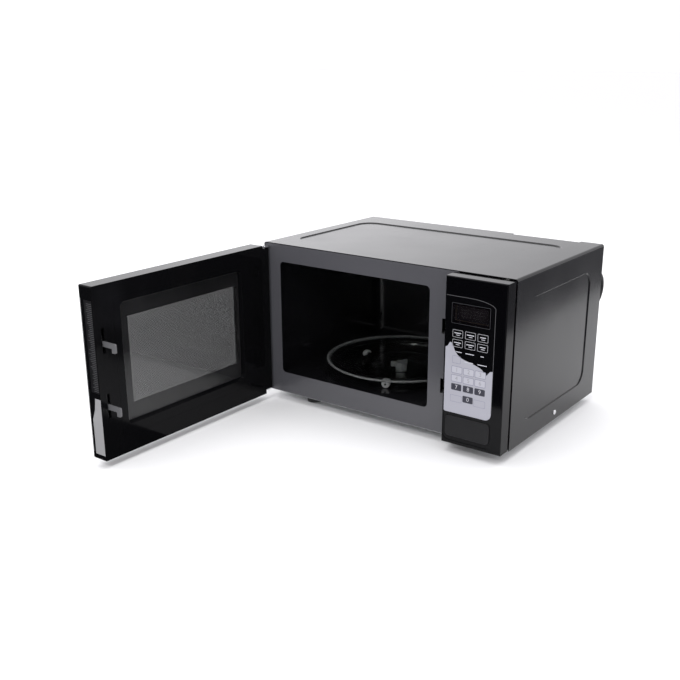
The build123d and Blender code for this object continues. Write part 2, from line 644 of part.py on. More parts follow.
# ---------------------------------------------------------------- control fascia
with BuildPart() as fascia:
    block(fascia_x, (fascia_front_y, fascia_rear_y), fascia_z)
    corner = fascia.edges().filter_by(Axis.Z).sort_by(Axis.Y)[:2]
    fillet(corner + fascia.faces().sort_by(Axis.Y)[0].edges().filter_by(Axis.X), radius=1.5)
    block(inset(fascia_x, fascia_wall), (fascia_front_y + fascia_wall, fascia_rear_y + 1),
          inset(fascia_z, fascia_wall), Mode.SUBTRACT)
    # tabs that reach the front frame
    for z in (40.0, 130.0, 236.0):
        block((fascia_x[0], frame_right_x - gap), (fascia_rear_y, front_y), (z, z + 8))
    # display window and its seat
    block(inset(display_x, 2), (fascia_front_y - 1, fascia_front_y + 5), inset(display_z, 2), Mode.SUBTRACT)
    block(inset(display_x, -gap), (fascia_front_y - 1, fascia_front_y + 1.2), inset(display_z, -gap),
          Mode.SUBTRACT)
    # button recess and hole
    rounded_panel(button_recess_x, (fascia_front_y - 1, fascia_front_y + 0.8), button_recess_z, 8.0,
                  Mode.SUBTRACT)
    rounded_panel(inset(button_x, -0.5), (fascia_front_y - 1, fascia_front_y + 5), inset(button_z, -0.5), 6.5,
                  Mode.SUBTRACT)
    # board bosses and the seat of the button spring
    for x in (135.0, 209.0):
        for z in (72.0, 224.0):
            rod((x, fascia_front_y + fascia_wall, z), (x, -156.0, z), 3.0)
    block((148.0, fascia_x[1] - 1), (-150.0, -147.5), (36.0, 48.0))
keep("control_fascia", fascia)

with BuildPart() as membrane:
    block(membrane_x, (fascia_front_y - 0.4, fascia_front_y), membrane_z)
    right_corners = membrane.edges().filter_by(Axis.Y).group_by(Axis.X)[-1].sort_by(Axis.Z)
    fillet(right_corners[0], radius=10.0)
    right_corners = membrane.edges().filter_by(Axis.Y).group_by(Axis.X)[-1].sort_by(Axis.Z)
    fillet(right_corners[-1], radius=12.0)
    block(inset(display_x, -gap), (fascia_front_y - 1, fascia_front_y + 1), inset(display_z, -gap),
          Mode.SUBTRACT)
keep("keypad_membrane", membrane)

with BuildPart() as lens:
    rounded_panel(display_x, (fascia_front_y - 0.4, fascia_front_y + 1.2), display_z, 1.0)
keep("display_window", lens)

with BuildPart() as display:
    block((142.0, 190.0), (-163.0, -156.0), (196.0, 216.0))
keep("display_module", display)

board_y = (-156.0, -154.4)
relay, transformer, sounder = (20, 16, 15), (36, 30, 18), (16, 14, 12)
chip, capacitor_can = (24, 10, 6), (10, 10, 16)
board_parts = (((150, 110), relay), ((178, 110), relay), ((160, 150), transformer), ((195, 190), sounder),
               ((150, 200), chip), ((200, 140), capacitor_can))
with BuildPart() as board:
    block((131.0, 213.5), board_y, (66.0, 228.0))
    for (x, z), (width, height, depth) in board_parts:
        block((x - width / 2, x + width / 2), (board_y[1] - 0.5, board_y[1] + depth),
              (z - height / 2, z + height / 2))
keep("control_board", board)

button_front = -168.3
button_face = -165.8
with BuildPart() as button:
    rounded_panel(button_x, (button_front, -157.0), button_z, 6.0)
    fillet(button.faces().sort_by(Axis.Y)[0].edges(), radius=1.0)
    rounded_panel(inset(button_x, 1.5), (button_face, -156.0), inset(button_z, 1.5), 4.5, Mode.SUBTRACT)
    post_x = (133.0, 139.0)
    post_end = lever_axis[0] - lever_radius - running_gap
    block(post_x, (button_face - 0.5, -150.0), (lever_push_z - 3, lever_push_z + 3))
    block(post_x, (-151.0, post_end), (lever_push_z - 1, lever_push_z + 1))
keep("release_button", button)

spring_seat_y = -150.0
spring_length = spring_seat_y - button_face
button_spring = coil_spring(front_plane(spring_seat_y, 166.0, 42.0), 5.0, 0.4, spring_length, 6)
keep("release_button_spring", button_spring)

# ---------------------------------------------------------------- microwave source
mag_y, mag_z = magnetron_axis
with BuildPart() as waveguide:
    block(waveguide_x, (-85.0, 20.0), (118.0, 192.0))
    block((waveguide_x[0] - 1, waveguide_x[1] - sheet), (-84.0, 19.0), (119.0, 191.0), Mode.SUBTRACT)
    rod((waveguide_x[1] - 2, mag_y, mag_z), (waveguide_x[1] + 1, mag_y, mag_z), 11.0, Mode.SUBTRACT)
keep("waveguide", waveguide)

with BuildPart() as mica:
    block((cavity_x[1] - 0.7, cavity_x[1] - gap), inset(port_y, -5), inset(port_z, -5))
keep("waveguide_cover", mica)

yoke_x = (waveguide_x[1], 178.0)
with BuildPart() as magnetron:
    block((yoke_x[0], yoke_x[0] + 2), (mag_y - 32, mag_y + 32), (mag_z - 36, mag_z + 36))
    block((yoke_x[1] - 2, yoke_x[1]), (mag_y - 32, mag_y + 32), (mag_z - 36, mag_z + 36))
    for z in (mag_z - 36, mag_z + 34):
        block(yoke_x, (mag_y - 32, mag_y + 32), (z, z + 2))
    rod((yoke_x[0] + 1, mag_y, mag_z), (yoke_x[1] - 1, mag_y, mag_z), 18.0)
    for x in (yoke_x[0] + 2, yoke_x[1] - 12):
        rod((x, mag_y, mag_z), (x + 10, mag_y, mag_z), 27.0)
    for fin in range(5):
        fin_x = yoke_x[0] + 16 + 5.2 * fin
        block((fin_x, fin_x + 0.8), (mag_y - 30, mag_y + 30), (mag_z - 30, mag_z + 30))
    rod((waveguide_x[1] - 17, mag_y, mag_z), (yoke_x[0] + 1, mag_y, mag_z), 8.0)
    block((yoke_x[1] - 1, 204.0), (mag_y - 26, mag_y + 26), (mag_z - 28, mag_z + 28))
    block((187.0, 199.0), (mag_y + 25, mag_y + 33), (mag_z - 9, mag_z + 9))
keep("magnetron", magnetron)

core_x, core_y, core_z = (125.0, 205.0), (-95.0, -55.0), (base_z + sheet, 85.0)
window_edges_x = ((138.0, 150.5), (179.5, 192.0))
winding_z = (30.0, 71.0)
with BuildPart() as core:
    block(core_x, core_y, core_z)
    for pair in window_edges_x:
        block(pair, (core_y[0] - 1, core_y[1] + 1), winding_z, Mode.SUBTRACT)
keep("transformer_core", core)

with BuildPart() as winding:
    block((138.3, 191.7), (-112.0, -38.0), inset(winding_z, 0.3))
    fillet(winding.edges().filter_by(Axis.Z), radius=8)
    block((150.2, 179.8), (core_y[0] - 0.3, core_y[1] + 0.3), inset(winding_z, -1), Mode.SUBTRACT)
keep("transformer_winding", winding)

with BuildPart() as capacitor:
    with BuildSketch(Plane.XY.offset(base_z + sheet)):
        with Locations((156.0, -14.0)):
            SlotOverall(54.0, 32.0)
    extrude(amount=84.0)
    for x in (146.0, 166.0):
        block((x - 3, x + 3), (-14.4, -13.6), (98.0, 108.0))
keep("hv_capacitor", capacitor)

with BuildPart() as diode:
    block((192.0, 204.0), (-26.0, -2.0), (base_z + sheet, base_z + 9))
    rod((198.0, -2.5, base_z + 5), (198.0, 8.0, base_z + 5), 0.8)
keep("hv_diode", diode)

# ---------------------------------------------------------------- cooling fan
fan_x, fan_z = fan_axis
shroud_y = (70.0, 72.0)
with BuildPart() as shroud:
    block((104.0, 206.0), shroud_y, (60.0, 231.8))
    rod((fan_x, shroud_y[0] + 1, fan_z), (fan_x, 100.0, fan_z), fan_radius + 4)
    rod((fan_x, shroud_y[0] - 1, fan_z), (fan_x, 101.0, fan_z), fan_radius + 2, Mode.SUBTRACT)
    block((fan_x - fan_radius - 3, fan_x + fan_radius + 3), (97.0, 100.0), (fan_z - 8, fan_z + 8))
    rod((fan_x, 96.0, fan_z), (fan_x, 101.0, fan_z), 5.0, Mode.SUBTRACT)
    block((106.0, 204.0), (shroud_y[0], 80.0), (229.8, 231.8))
    block((104.0, 110.0), shroud_y, (base_z + sheet, 61.0))
    block((200.0, 206.0), shroud_y, (base_z + sheet, 61.0))
keep("fan_shroud", shroud)

fan_motor_y = (100.0, 130.0)
with BuildPart() as fan_motor:
    block((fan_x - 24, fan_x + 24), (fan_motor_y[0] + 4, fan_motor_y[1] - 8), (fan_z - 24, fan_z + 30))
    rod((fan_x, fan_motor_y[0], fan_z), (fan_x, fan_motor_y[1], fan_z), 12.0)
    block((fan_x - 12, fan_x + 12), (fan_motor_y[0] + 2, fan_motor_y[1] - 5), (fan_z + 30, fan_z + 48))
    rod((fan_x, fan_motor_y[0] - 1, fan_z), (fan_x, fan_motor_y[0] + 20, fan_z), 2.5 + pin_fit, Mode.SUBTRACT)
keep("fan_motor", fan_motor)

blade_pitch = 28
with BuildPart() as fan:
    rod((fan_x, 76.0, fan_z), (fan_x, 92.0, fan_z), 11.0)
    rod((fan_x, 90.0, fan_z), (fan_x, fan_motor_y[0] + 18, fan_z), 2.5)
    for number in range(5):
        turn = 360 / 5 * number
        out = Vector(cos(radians(turn)), 0, sin(radians(turn)))
        root = Vector(fan_x, 84.0, fan_z) + out * 9
        across = Vector(0, 1, 0).rotate(Axis((0, 0, 0), tuple(out)), blade_pitch + 35)
        with BuildSketch(Plane(origin=root, x_dir=across, z_dir=out)):
            SlotOverall(14.0, 1.6)
        with BuildSketch(Plane(origin=root + out * (fan_radius - 10), x_dir=across, z_dir=out)):
            SlotOverall(15.0, 1.2)
        loft()
keep("fan_blade", fan)

with BuildPart() as filter_board:
    block((110.0, 200.0), (shroud_y[0] + 1, 140.0), (232.0, 233.6))
    for x, y, radius in ((130, 92, 8), (150, 118, 9), (182, 96, 6)):
        rod((x, y, 233.0), (x, y, 246.0), radius)
    block((160.0, 192.0), (122.0, 130.0), (233.0, 243.0))
keep("noise_filter_board", filter_board)

with BuildPart() as cutout:
    rod((cavity_x[1] + sheet, 100.0, 200.0), (cavity_x[1] + 7, 100.0, 200.0), 8.0)
    for y in (96.0, 104.0):
        block((cavity_x[1] + 6, cavity_x[1] + 14), (y - 0.4, y + 0.4), (197.0, 203.0))
keep("thermal_cutout", cutout)

lamp_x, lamp_y = 113.0, 45.0
with BuildPart() as socket:
    block((cavity_x[1] + sheet, lamp_x + 12), (lamp_y - 12, lamp_y + 12), (222.0, 234.0))
keep("lamp_socket", socket)

with BuildPart() as lamp:
    rod((lamp_x, lamp_y, 214.0), (lamp_x, lamp_y, 222.0), 6.0)
    with Locations((lamp_x, lamp_y, 203.0)):
        Sphere(12.0)
    rod((lamp_x, lamp_y, 205.0), (lamp_x, lamp_y, 215.0), 5.5)
keep("cavity_lamp", lamp)

loom_radius = 2.5
with BuildPart() as loom:
    with BuildLine():
        route = FilletPolyline((212.5, -135.0, 110.0), (212.5, -135.0, 222.0), (212.5, 120.0, 222.0),
                               (212.5, 120.0, 150.0), radius=14.0)
    with BuildSketch(Plane(origin=route @ 0, z_dir=route % 0)):
        Circle(loom_radius)
    sweep()
keep("wire_harness", loom)

# ---------------------------------------------------------------- mains lead
with BuildPart() as relief:
    for start_y, end_y, radius in ((rear_panel_y - sheet - 6, rear_panel_y - sheet - gap, 8.0),
                                   (rear_panel_y - sheet - 3, rear_panel_y + gap, 6.3),
                                   (rear_panel_y + gap, rear_panel_y + 3, 8.0)):
        rod((cord_x, start_y, cord_exit_z), (cord_x, end_y, cord_exit_z), radius)
    with BuildSketch(front_plane(rear_panel_y + 3, cord_x, cord_exit_z)):
        Circle(6.4)
    with BuildSketch(front_plane(cord_exit_y, cord_x, cord_exit_z)):
        Circle(4.4)
    loft()
keep("cord_strain_relief", relief)

# The lead hangs in a half loop behind the right rear corner, drops to the worktop
# and runs to a small coil behind the oven.
floor_z = cord_radius
lead_points = [
    (cord_x, cord_exit_y, cord_exit_z),
    (cord_x, 190.4, 204.0),
    (cord_x, 205.0, 189.4),
    (cord_x, 205.0, 168.6),
    (cord_x, 190.4, 154.0),
    (cord_x, 173.0, 152.0),
    (200.5, 163.5, 138.0),
    (200.0, 163.0, 108.0),
    (199.0, 165.0, 64.0),
    (198.5, 169.0, 28.0),
    (196.0, 180.0, 8.0),
    (188.0, 192.0, floor_z),
    (177.0, 204.0, floor_z),
    (171.5, 215.0, floor_z),
]


def corner_radii(points):
    """The largest arc that fits each corner of a route: 0.45 of its shorter run."""
    radii = []
    for before, corner, after in zip(points, points[1:], points[2:]):
        into, out = Vector(*corner) - Vector(*before), Vector(*after) - Vector(*corner)
        turn = radians(into.get_angle(out))
        radii.append(0.45 * min(into.length, out.length) / tan(turn / 2))
    return radii


def cord_tube(points):
    """A tube along straight runs joined by tangent arcs."""
    radii = corner_radii(points)
    with BuildPart() as tube:
        with BuildLine():
            path = FilletPolyline(*points, radius=radii)
        with BuildSketch(Plane(origin=path @ 0, z_dir=path % 0)):
            Circle(cord_radius)
        sweep()
    length = path.length
    print("cord tube:", round(length, 1), "mm, radii", [round(r) for r in radii],
          "volume ratio", round(tube.part.volume / (pi * cord_radius ** 2 * length), 4))
    return tube


keep("power_cord", cord_tube(lead_points))

with BuildPart() as coil:
    with BuildSketch():
        with Locations(coil_centre):
            Circle(coil_outer_radius)
            Circle(coil_inner_radius, mode=Mode.SUBTRACT)
    extrude(amount=coil_height)
    fillet(coil.edges().filter_by(GeomType.CIRCLE), radius=cord_radius - 0.3)
keep("cord_coil", coil)

tail_points = [
    (118.0, 256.5, 9.75),
    (104.0, 254.0, 9.75),
    (89.0, 250.5, 8.5),
    (74.0, 246.0, 4.5),
    (60.0, 240.0, 5.5),
    (47.0, 233.0, 10.0),
]
keep("cord_tail", cord_tube(tail_points))

# A plug with two flat blades and a round earth pin, lying on its side
plug_heading = Vector(-0.78, -0.62, 0).normalized()
plug_start = Vector(*tail_points[-1]) + Vector(0, 0, 0.5)
plug_plane = Plane(origin=plug_start, x_dir=(-plug_heading.Y, plug_heading.X, 0), z_dir=plug_heading)
relief_length, plug_body_length = 13.0, 21.0
with BuildPart() as plug:
    with BuildSketch(plug_plane):
        Circle(4.6)
    with BuildSketch(plug_plane.offset(relief_length)):
        RectangleRounded(24.0, 19.0, 6.0)
    loft()
    with BuildSketch(plug_plane.offset(relief_length)):
        RectangleRounded(24.0, 19.0, 6.0)
    extrude(amount=plug_body_length)
    with BuildSketch(plug_plane.offset(relief_length + plug_body_length)):
        with Locations((-6.35, 3.0), (6.35, 3.0)):
            Rectangle(1.5, 6.3)
    extrude(amount=16.0)
    with BuildSketch(plug_plane.offset(relief_length + plug_body_length)):
        with Locations((0, -5.5)):
            Circle(2.4)
    extrude(amount=19.0)
keep("power_plug", plug)

tie_width = 8.0
with BuildPart() as tie:
    tie_x = (coil_centre[0] + 6, coil_centre[0] + 6 + tie_width)
    tie_y = (coil_centre[1] + 29.5, coil_centre[1] + 48.5)
    block(tie_x, tie_y, (0.2, coil_height + 1.2))
    block(inset(tie_x, -1), inset(tie_y, 1.5), (1.2, coil_height + 0.2), Mode.SUBTRACT)
keep("cord_tie", tie)

os.makedirs("parts", exist_ok=True)
for name, shape in parts.items():
    export_step(shape, f"parts/{name}.step")
print(len(parts), "pieces")
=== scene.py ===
"""Looks of the countertop microwave oven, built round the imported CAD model.

Pieces stand in the CAD's frame, in metres: +X right, -Y front, +Z up. Measures in millimetres
go through mm() or are multiplied by MM. The door stands open at a right angle, so its pieces
are made as if it were shut and then swung open.
"""

import json
import math
import random

import bmesh
import bpy
from mathutils import Matrix, Vector


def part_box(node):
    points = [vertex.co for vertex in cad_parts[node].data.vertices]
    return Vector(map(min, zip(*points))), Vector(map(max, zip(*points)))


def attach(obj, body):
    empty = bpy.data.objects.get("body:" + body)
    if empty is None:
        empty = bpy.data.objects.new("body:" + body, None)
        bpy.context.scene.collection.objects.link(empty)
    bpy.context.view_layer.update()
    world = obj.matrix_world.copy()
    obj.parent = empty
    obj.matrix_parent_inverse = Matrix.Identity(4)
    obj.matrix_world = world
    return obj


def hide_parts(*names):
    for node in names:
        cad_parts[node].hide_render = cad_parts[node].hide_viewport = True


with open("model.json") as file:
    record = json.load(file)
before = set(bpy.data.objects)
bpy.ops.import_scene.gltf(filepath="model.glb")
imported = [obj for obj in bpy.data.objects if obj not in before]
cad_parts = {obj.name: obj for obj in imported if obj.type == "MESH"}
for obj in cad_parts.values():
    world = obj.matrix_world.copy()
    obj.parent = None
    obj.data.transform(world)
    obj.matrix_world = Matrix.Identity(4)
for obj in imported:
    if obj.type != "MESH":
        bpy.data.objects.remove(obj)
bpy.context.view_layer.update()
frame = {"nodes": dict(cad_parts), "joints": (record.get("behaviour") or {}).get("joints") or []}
nodes = frame["nodes"]
random.seed(7)
MM = 0.001


def mm(*values):
    """Millimetres to metres."""
    return tuple(value * MM for value in values)


def link(name, data):
    """A new object in the scene that shows the data."""
    made = bpy.data.objects.new(name, data)
    bpy.context.scene.collection.objects.link(made)
    return made


# ---------------------------------------------------------------- camera
CAMERA_PLACE = (0.7405, -1.2189, 0.5370)
CAMERA_YAW, CAMERA_PITCH, CAMERA_ROLL = (math.radians(angle) for angle in (35.9, 18.04, 0.08))
CAMERA_LENS = 48.95
CAMERA_SHIFT = (-0.0260, 0.0229)


def make_camera():
    data = bpy.data.cameras.new("camera")
    data.sensor_width = 36.0
    data.lens = CAMERA_LENS
    data.shift_x, data.shift_y = CAMERA_SHIFT
    data.clip_end = 50.0
    camera = link("camera", data)
    turn = Matrix.Rotation(CAMERA_YAW, 4, "Z") @ Matrix.Rotation(math.pi / 2 - CAMERA_PITCH, 4, "X")
    camera.matrix_world = (Matrix.Translation(CAMERA_PLACE) @ turn
                           @ Matrix.Rotation(CAMERA_ROLL, 4, "Z"))
    bpy.context.scene.camera = camera


make_camera()


# ---------------------------------------------------------------- mesh helpers
def mesh_piece(name, points, faces, material, body, slot=None, smooth=None):
    """A mesh from points in metres; smooth is the angle under which edges are shaded round."""
    mesh = bpy.data.meshes.new(name)
    mesh.from_pydata([tuple(point) for point in points], [], faces)
    mesh.validate()
    work = bmesh.new()
    work.from_mesh(mesh)
    bmesh.ops.recalc_face_normals(work, faces=work.faces)
    work.to_mesh(mesh)
    work.free()
    return finish_piece(link(name, mesh), material, body, smooth)


def finish_piece(made, material, body, smooth=None):
    """Paints a piece, shades it and sets it on its body."""
    made.data.materials.clear()
    made.data.materials.append(material)
    if smooth is not None:
        made.data.shade_smooth()
        made.data.set_sharp_from_angle(angle=math.radians(smooth))
    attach(made, body)
    return made


def joined(pairs):
    """One (points, faces) from several."""
    points, faces = [], []
    for some_points, some_faces in pairs:
        start = len(points)
        points += list(some_points)
        faces += [tuple(start + i for i in face) for face in some_faces]
    return points, faces


def box_mesh(x, y, z):
    """Points and faces of a box between two corners."""
    points = [(a, b, c) for a in x for b in y for c in z]
    faces = [(0, 1, 3, 2), (4, 6, 7, 5), (0, 4, 5, 1), (2, 3, 7, 6), (0, 2, 6, 4), (1, 5, 7, 3)]
    return points, faces


def prism(outline, y0, y1):
    """A flat (x, z) outline given thickness from y0 to y1."""
    count = len(outline)
    points = [(x, y, z) for y in (y0, y1) for x, z in outline]
    faces = [tuple(range(count)), tuple(range(2 * count - 1, count - 1, -1))]
    faces += [(i, (i + 1) % count, count + (i + 1) % count, count + i) for i in range(count)]
    return points, faces


def ring_prism(outer, inner, y0, y1):
    """A flat (x, z) ring between two outlines of equally many points, from y0 to y1."""
    count = len(outer)
    points = [(x, y, z) for y in (y0, y1) for loop in (outer, inner) for x, z in loop]
    front_out, front_in, back_out, back_in = 0, count, 2 * count, 3 * count
    faces = []
    for i in range(count):
        j = (i + 1) % count
        faces.append((front_out + i, front_out + j, front_in + j, front_in + i))
        faces.append((back_out + i, back_in + i, back_in + j, back_out + j))
        faces.append((front_out + i, back_out + i, back_out + j, front_out + j))
        faces.append((front_in + i, front_in + j, back_in + j, back_in + i))
    return points, faces


def rounded_outline(x, z, radii, steps=8):
    """A rectangle's outline with corner radii in the order low-left, low-right, top-right, top-left."""
    corners = ((x[0], z[0], 180), (x[1], z[0], 270), (x[1], z[1], 0), (x[0], z[1], 90))
    outline = []
    for (cx, cz, start), radius in zip(corners, radii):
        toward_x = 1 if cx == x[0] else -1
        toward_z = 1 if cz == z[0] else -1
        for step in range(steps + 1):
            angle = math.radians(start + 90 * step / steps)
            outline.append((cx + toward_x * radius + radius * math.cos(angle),
                            cz + toward_z * radius + radius * math.sin(angle)))
    return outline


def lathe(profile, centre, axis, segments=96):
    """A closed solid of revolution; profile is (radius, height) from the axis round to the axis."""
    axis = Vector(axis).normalized()
    side = axis.orthogonal().normalized()
    other = axis.cross(side)
    points, faces, rings = [], [], []
    for radius, height in profile:
        middle = Vector(centre) + axis * height
        if radius < 1e-7:
            rings.append([len(points)])
            points.append(middle)
            continue
        ring = []
        for i in range(segments):
            angle = 2 * math.pi * i / segments
            ring.append(len(points))
            points.append(middle + (side * math.cos(angle) + other * math.sin(angle)) * radius)
        rings.append(ring)
    closed = len(rings[0]) > 1
    pairs = list(zip(rings, rings[1:])) + ([(rings[-1], rings[0])] if closed else [])
    for low, high in pairs:
        for i in range(segments):
            j = (i + 1) % segments
            face = [low[i % len(low)], low[j % len(low)], high[j % len(high)], high[i % len(high)]]
            face = list(dict.fromkeys(face))
            if len(face) > 2:
                faces.append(face)
    return points, faces


def lofted(rings):
    """A closed skin over rings of equally many points."""
    count = len(rings[0])
    points = [point for ring in rings for point in ring]
    faces = [tuple(range(count)), tuple(range(len(points) - 1, len(points) - count - 1, -1))]
    for level in range(len(rings) - 1):
        low, high = level * count, (level + 1) * count
        faces += [(low + i, low + (i + 1) % count, high + (i + 1) % count, high + i) for i in range(count)]
    return points, faces


hinge = next(joint for joint in frame["joints"] if joint["name"] == "door_hinge")
hinge_point = Vector(hinge["pos_m"])
SWING = (Matrix.Translation(hinge_point) @ Matrix.Rotation(-math.pi / 2, 4, "Z")
         @ Matrix.Translation(-hinge_point))


def swung(shape):
    """Points of the shut door moved to the open door."""
    points, faces = shape
    return [SWING @ Vector(point) for point in points], faces


# ---------------------------------------------------------------- materials
def node_tree(name):
    """A new material with its node tree and its main shader."""
    made = bpy.data.materials.new(name)
    made.use_nodes = True
    tree = made.node_tree
    return made, tree, tree.nodes["Principled BSDF"]


def coordinates(tree, scale=(1, 1, 1)):
    """The piece's own coordinates, stretched by a scale."""
    where = tree.nodes.new("ShaderNodeTexCoord")
    mapping = tree.nodes.new("ShaderNodeMapping")
    mapping.inputs["Scale"].default_value = scale
    tree.links.new(where.outputs["Object"], mapping.inputs["Vector"])
    return mapping.outputs["Vector"]


def noise(tree, vector, scale, detail=4.0):
    """Soft random patches from 0 to 1."""
    made = tree.nodes.new("ShaderNodeTexNoise")
    made.inputs["Scale"].default_value = scale
    made.inputs["Detail"].default_value = detail
    tree.links.new(vector, made.inputs["Vector"])
    return made.outputs["Fac"]


def mapped(tree, value, low, high, start=0.3, end=0.7):
    """The value from start to end stretched over low to high."""
    made = tree.nodes.new("ShaderNodeMapRange")
    made.inputs["From Min"].default_value = start
    made.inputs["From Max"].default_value = end
    made.inputs["To Min"].default_value = low
    made.inputs["To Max"].default_value = high
    tree.links.new(value, made.inputs["Value"])
    return made.outputs["Result"]


def blended(tree, factor, first, second):
    """Two colours mixed by a factor."""
    made = tree.nodes.new("ShaderNodeMix")
    made.data_type = "RGBA"
    made.inputs["A"].default_value = (*first, 1)
    made.inputs["B"].default_value = (*second, 1)
    tree.links.new(factor, made.inputs["Factor"])
    return made.outputs["Result"]


def bumped(tree, shader, height, strength, distance):
    """Tilts the shading by a height."""
    made = tree.nodes.new("ShaderNodeBump")
    made.inputs["Strength"].default_value = strength
    made.inputs["Distance"].default_value = distance
    tree.links.new(height, made.inputs["Height"])
    tree.links.new(made.outputs["Normal"], shader.inputs["Normal"])


def surface(name, colour, roughness, metallic=0.0, specular=0.5, coat=0.0, variation=0.12,
            grain=900.0, bump=0.0, stretch=(1, 1, 1), smudge=9.0):
    """A shaded surface with slight colour change, uneven gloss and a fine grain."""
    made, tree, shader = node_tree(name)
    vector = coordinates(tree, stretch)
    cloud = noise(tree, vector, smudge)
    darker = tuple(channel * (1 - variation) for channel in colour)
    lighter = tuple(min(1.0, channel * (1 + variation)) for channel in colour)
    tree.links.new(blended(tree, cloud, darker, lighter), shader.inputs["Base Color"])
    tree.links.new(mapped(tree, cloud, roughness * 0.8, roughness * 1.25), shader.inputs["Roughness"])
    shader.inputs["Metallic"].default_value = metallic
    shader.inputs["Specular IOR Level"].default_value = specular
    shader.inputs["Coat Weight"].default_value = coat
    shader.inputs["Coat Roughness"].default_value = 0.04
    if bump:
        bumped(tree, shader, noise(tree, vector, grain, 2.0), bump, 0.0004)
    return made


def see_through(name, colour, roughness, alpha=None, ior=1.5):
    """Clear or tinted glass and film."""
    made, tree, shader = node_tree(name)
    vector = coordinates(tree)
    tree.links.new(mapped(tree, noise(tree, vector, 14.0), roughness * 0.8, roughness * 1.4),
                   shader.inputs["Roughness"])
    shader.inputs["Base Color"].default_value = (*colour, 1)
    shader.inputs["IOR"].default_value = ior
    if alpha is None:
        shader.inputs["Transmission Weight"].default_value = 1.0
    else:
        shader.inputs["Alpha"].default_value = alpha
    return made


cover_paint = surface("cover_paint", (0.006, 0.006, 0.007), 0.16, specular=0.28, grain=2200, bump=0.02)
frame_paint = surface("frame_paint", (0.072, 0.072, 0.08), 0.205, variation=0.05, grain=1500, bump=0.05)
cavity_enamel = surface("cavity_enamel", (0.006, 0.006, 0.007), 0.13, grain=700, bump=0.03)
screen_enamel = surface("screen_enamel", (0.01, 0.01, 0.011), 0.36, specular=0.4, grain=1200, bump=0.05)
gloss_plastic = surface("gloss_plastic", (0.0015, 0.0015, 0.002), 0.1, specular=0.15, bump=0.01)
door_gloss = surface("door_gloss", (0.003, 0.003, 0.0035), 0.1, specular=0.08, bump=0.01)
matte_plastic = surface("matte_plastic", (0.02, 0.02, 0.021), 0.5, grain=1800, bump=0.25)
button_plastic = surface("button_plastic", (0.007, 0.007, 0.008), 0.42, specular=0.25, grain=1500, bump=0.6)
grey_plastic = surface("grey_plastic", (0.42, 0.42, 0.44), 0.38, grain=1200, bump=0.08)
hook_plastic = surface("hook_plastic", (0.11, 0.11, 0.115), 0.16, grain=1200, bump=0.05)
white_plastic = surface("white_plastic", (0.78, 0.78, 0.74), 0.35, variation=0.04, grain=1200, bump=0.05)
ring_plastic = surface("ring_plastic", (0.02, 0.02, 0.021), 0.18, grain=1200, bump=0.05)
pale_plastic = surface("pale_plastic", (0.6, 0.6, 0.6), 0.12, grain=1200, bump=0.03)
rubber = surface("rubber", (0.018, 0.018, 0.018), 0.6, grain=1400, bump=0.3)
jacket = surface("cord_jacket", (0.006, 0.006, 0.006), 0.38, grain=1600, bump=0.12)
bright_steel = surface("bright_steel", (0.72, 0.72, 0.74), 0.2, metallic=1.0, bump=0.06)
galvanised = surface("galvanised", (0.5, 0.51, 0.52), 0.36, metallic=1.0, variation=0.3, smudge=55.0,
                     grain=500, bump=0.06)
spring_steel = surface("spring_steel", (0.5, 0.5, 0.5), 0.36, metallic=1.0, grain=1500, bump=0.05)
aluminium = surface("aluminium", (0.75, 0.76, 0.77), 0.36, metallic=1.0, stretch=(1, 1, 14), grain=600,
                    bump=0.12)
nickel = surface("nickel_blades", (0.75, 0.72, 0.66), 0.2, metallic=1.0, bump=0.04)
iron = surface("varnished_iron", (0.06, 0.06, 0.065), 0.45, metallic=0.6, stretch=(1, 260, 1), grain=6,
               bump=0.7)
copper = surface("enamelled_copper", (0.45, 0.14, 0.05), 0.36, metallic=0.85, stretch=(1, 1, 300), grain=5,
                 bump=0.8)
board_laminate = surface("board_laminate", (0.3, 0.22, 0.08), 0.45, bump=0.1)
mica = surface("mica_sheet", (0.5, 0.44, 0.34), 0.4, variation=0.35, smudge=60.0, grain=400, bump=0.2)
membrane_black = surface("membrane_black", (0.0015, 0.0015, 0.002), 0.2, specular=0.15, grain=1500, bump=0.04)
# painted reflection: this silver-grey stands for the bright floor mirrored in the lower part of the glossy
# keypad
membrane_painted_reflection = surface("membrane_painted_reflection", (0.34, 0.34, 0.385), 0.36, specular=0.4, variation=0.05,
                          grain=1500, bump=0.05)
print_light = surface("print_light", (0.48, 0.48, 0.52), 0.4, variation=0.03)
print_dim = surface("print_dim", (0.24, 0.24, 0.26), 0.4, variation=0.03)
print_dark = surface("print_dark", (0.03, 0.03, 0.045), 0.35, variation=0.05)
key_light = surface("key_light", (0.41, 0.41, 0.46), 0.36, variation=0.03)
display_unlit = surface("display_unlit", (0.09, 0.085, 0.085), 0.4, variation=0.03)
rim_blue = surface("rim_blue", (0.2, 0.2, 0.26), 0.4, variation=0.03)
outline_grey = surface("outline_grey", (0.3, 0.3, 0.32), 0.4, variation=0.03)
outline_faint = surface("outline_faint", (0.035, 0.035, 0.04), 0.36, variation=0.03)
# grey for printed rules, and for the painted highlight along the keypad's edge
rule_and_painted_highlight_grey = surface("rule_and_painted_highlight_grey", (0.07, 0.07, 0.075), 0.4, variation=0.03)
# silver-grey for the thin line on the door's edge, and for the painted reflection of the floor on the lower
# part of that edge
silver_line_and_painted_reflection = surface("silver_line_and_painted_reflection", (0.42, 0.42, 0.43), 0.36, metallic=0.4, bump=0.05)
label_dark = surface("label_dark", (0.006, 0.006, 0.007), 0.4, specular=0.2, variation=0.05)
lamp_glass = see_through("lamp_glass", (0.98, 0.97, 0.93), 0.045)
tinted_glass = see_through("tinted_glass", (0.004, 0.004, 0.005), 0.045, alpha=0.2)
clear_film = see_through("clear_film", (0.01, 0.01, 0.01), 0.045, alpha=0.28, ior=2.0)
display_lens = see_through("display_lens", (0.006, 0.005, 0.006), 0.045, alpha=0.55)


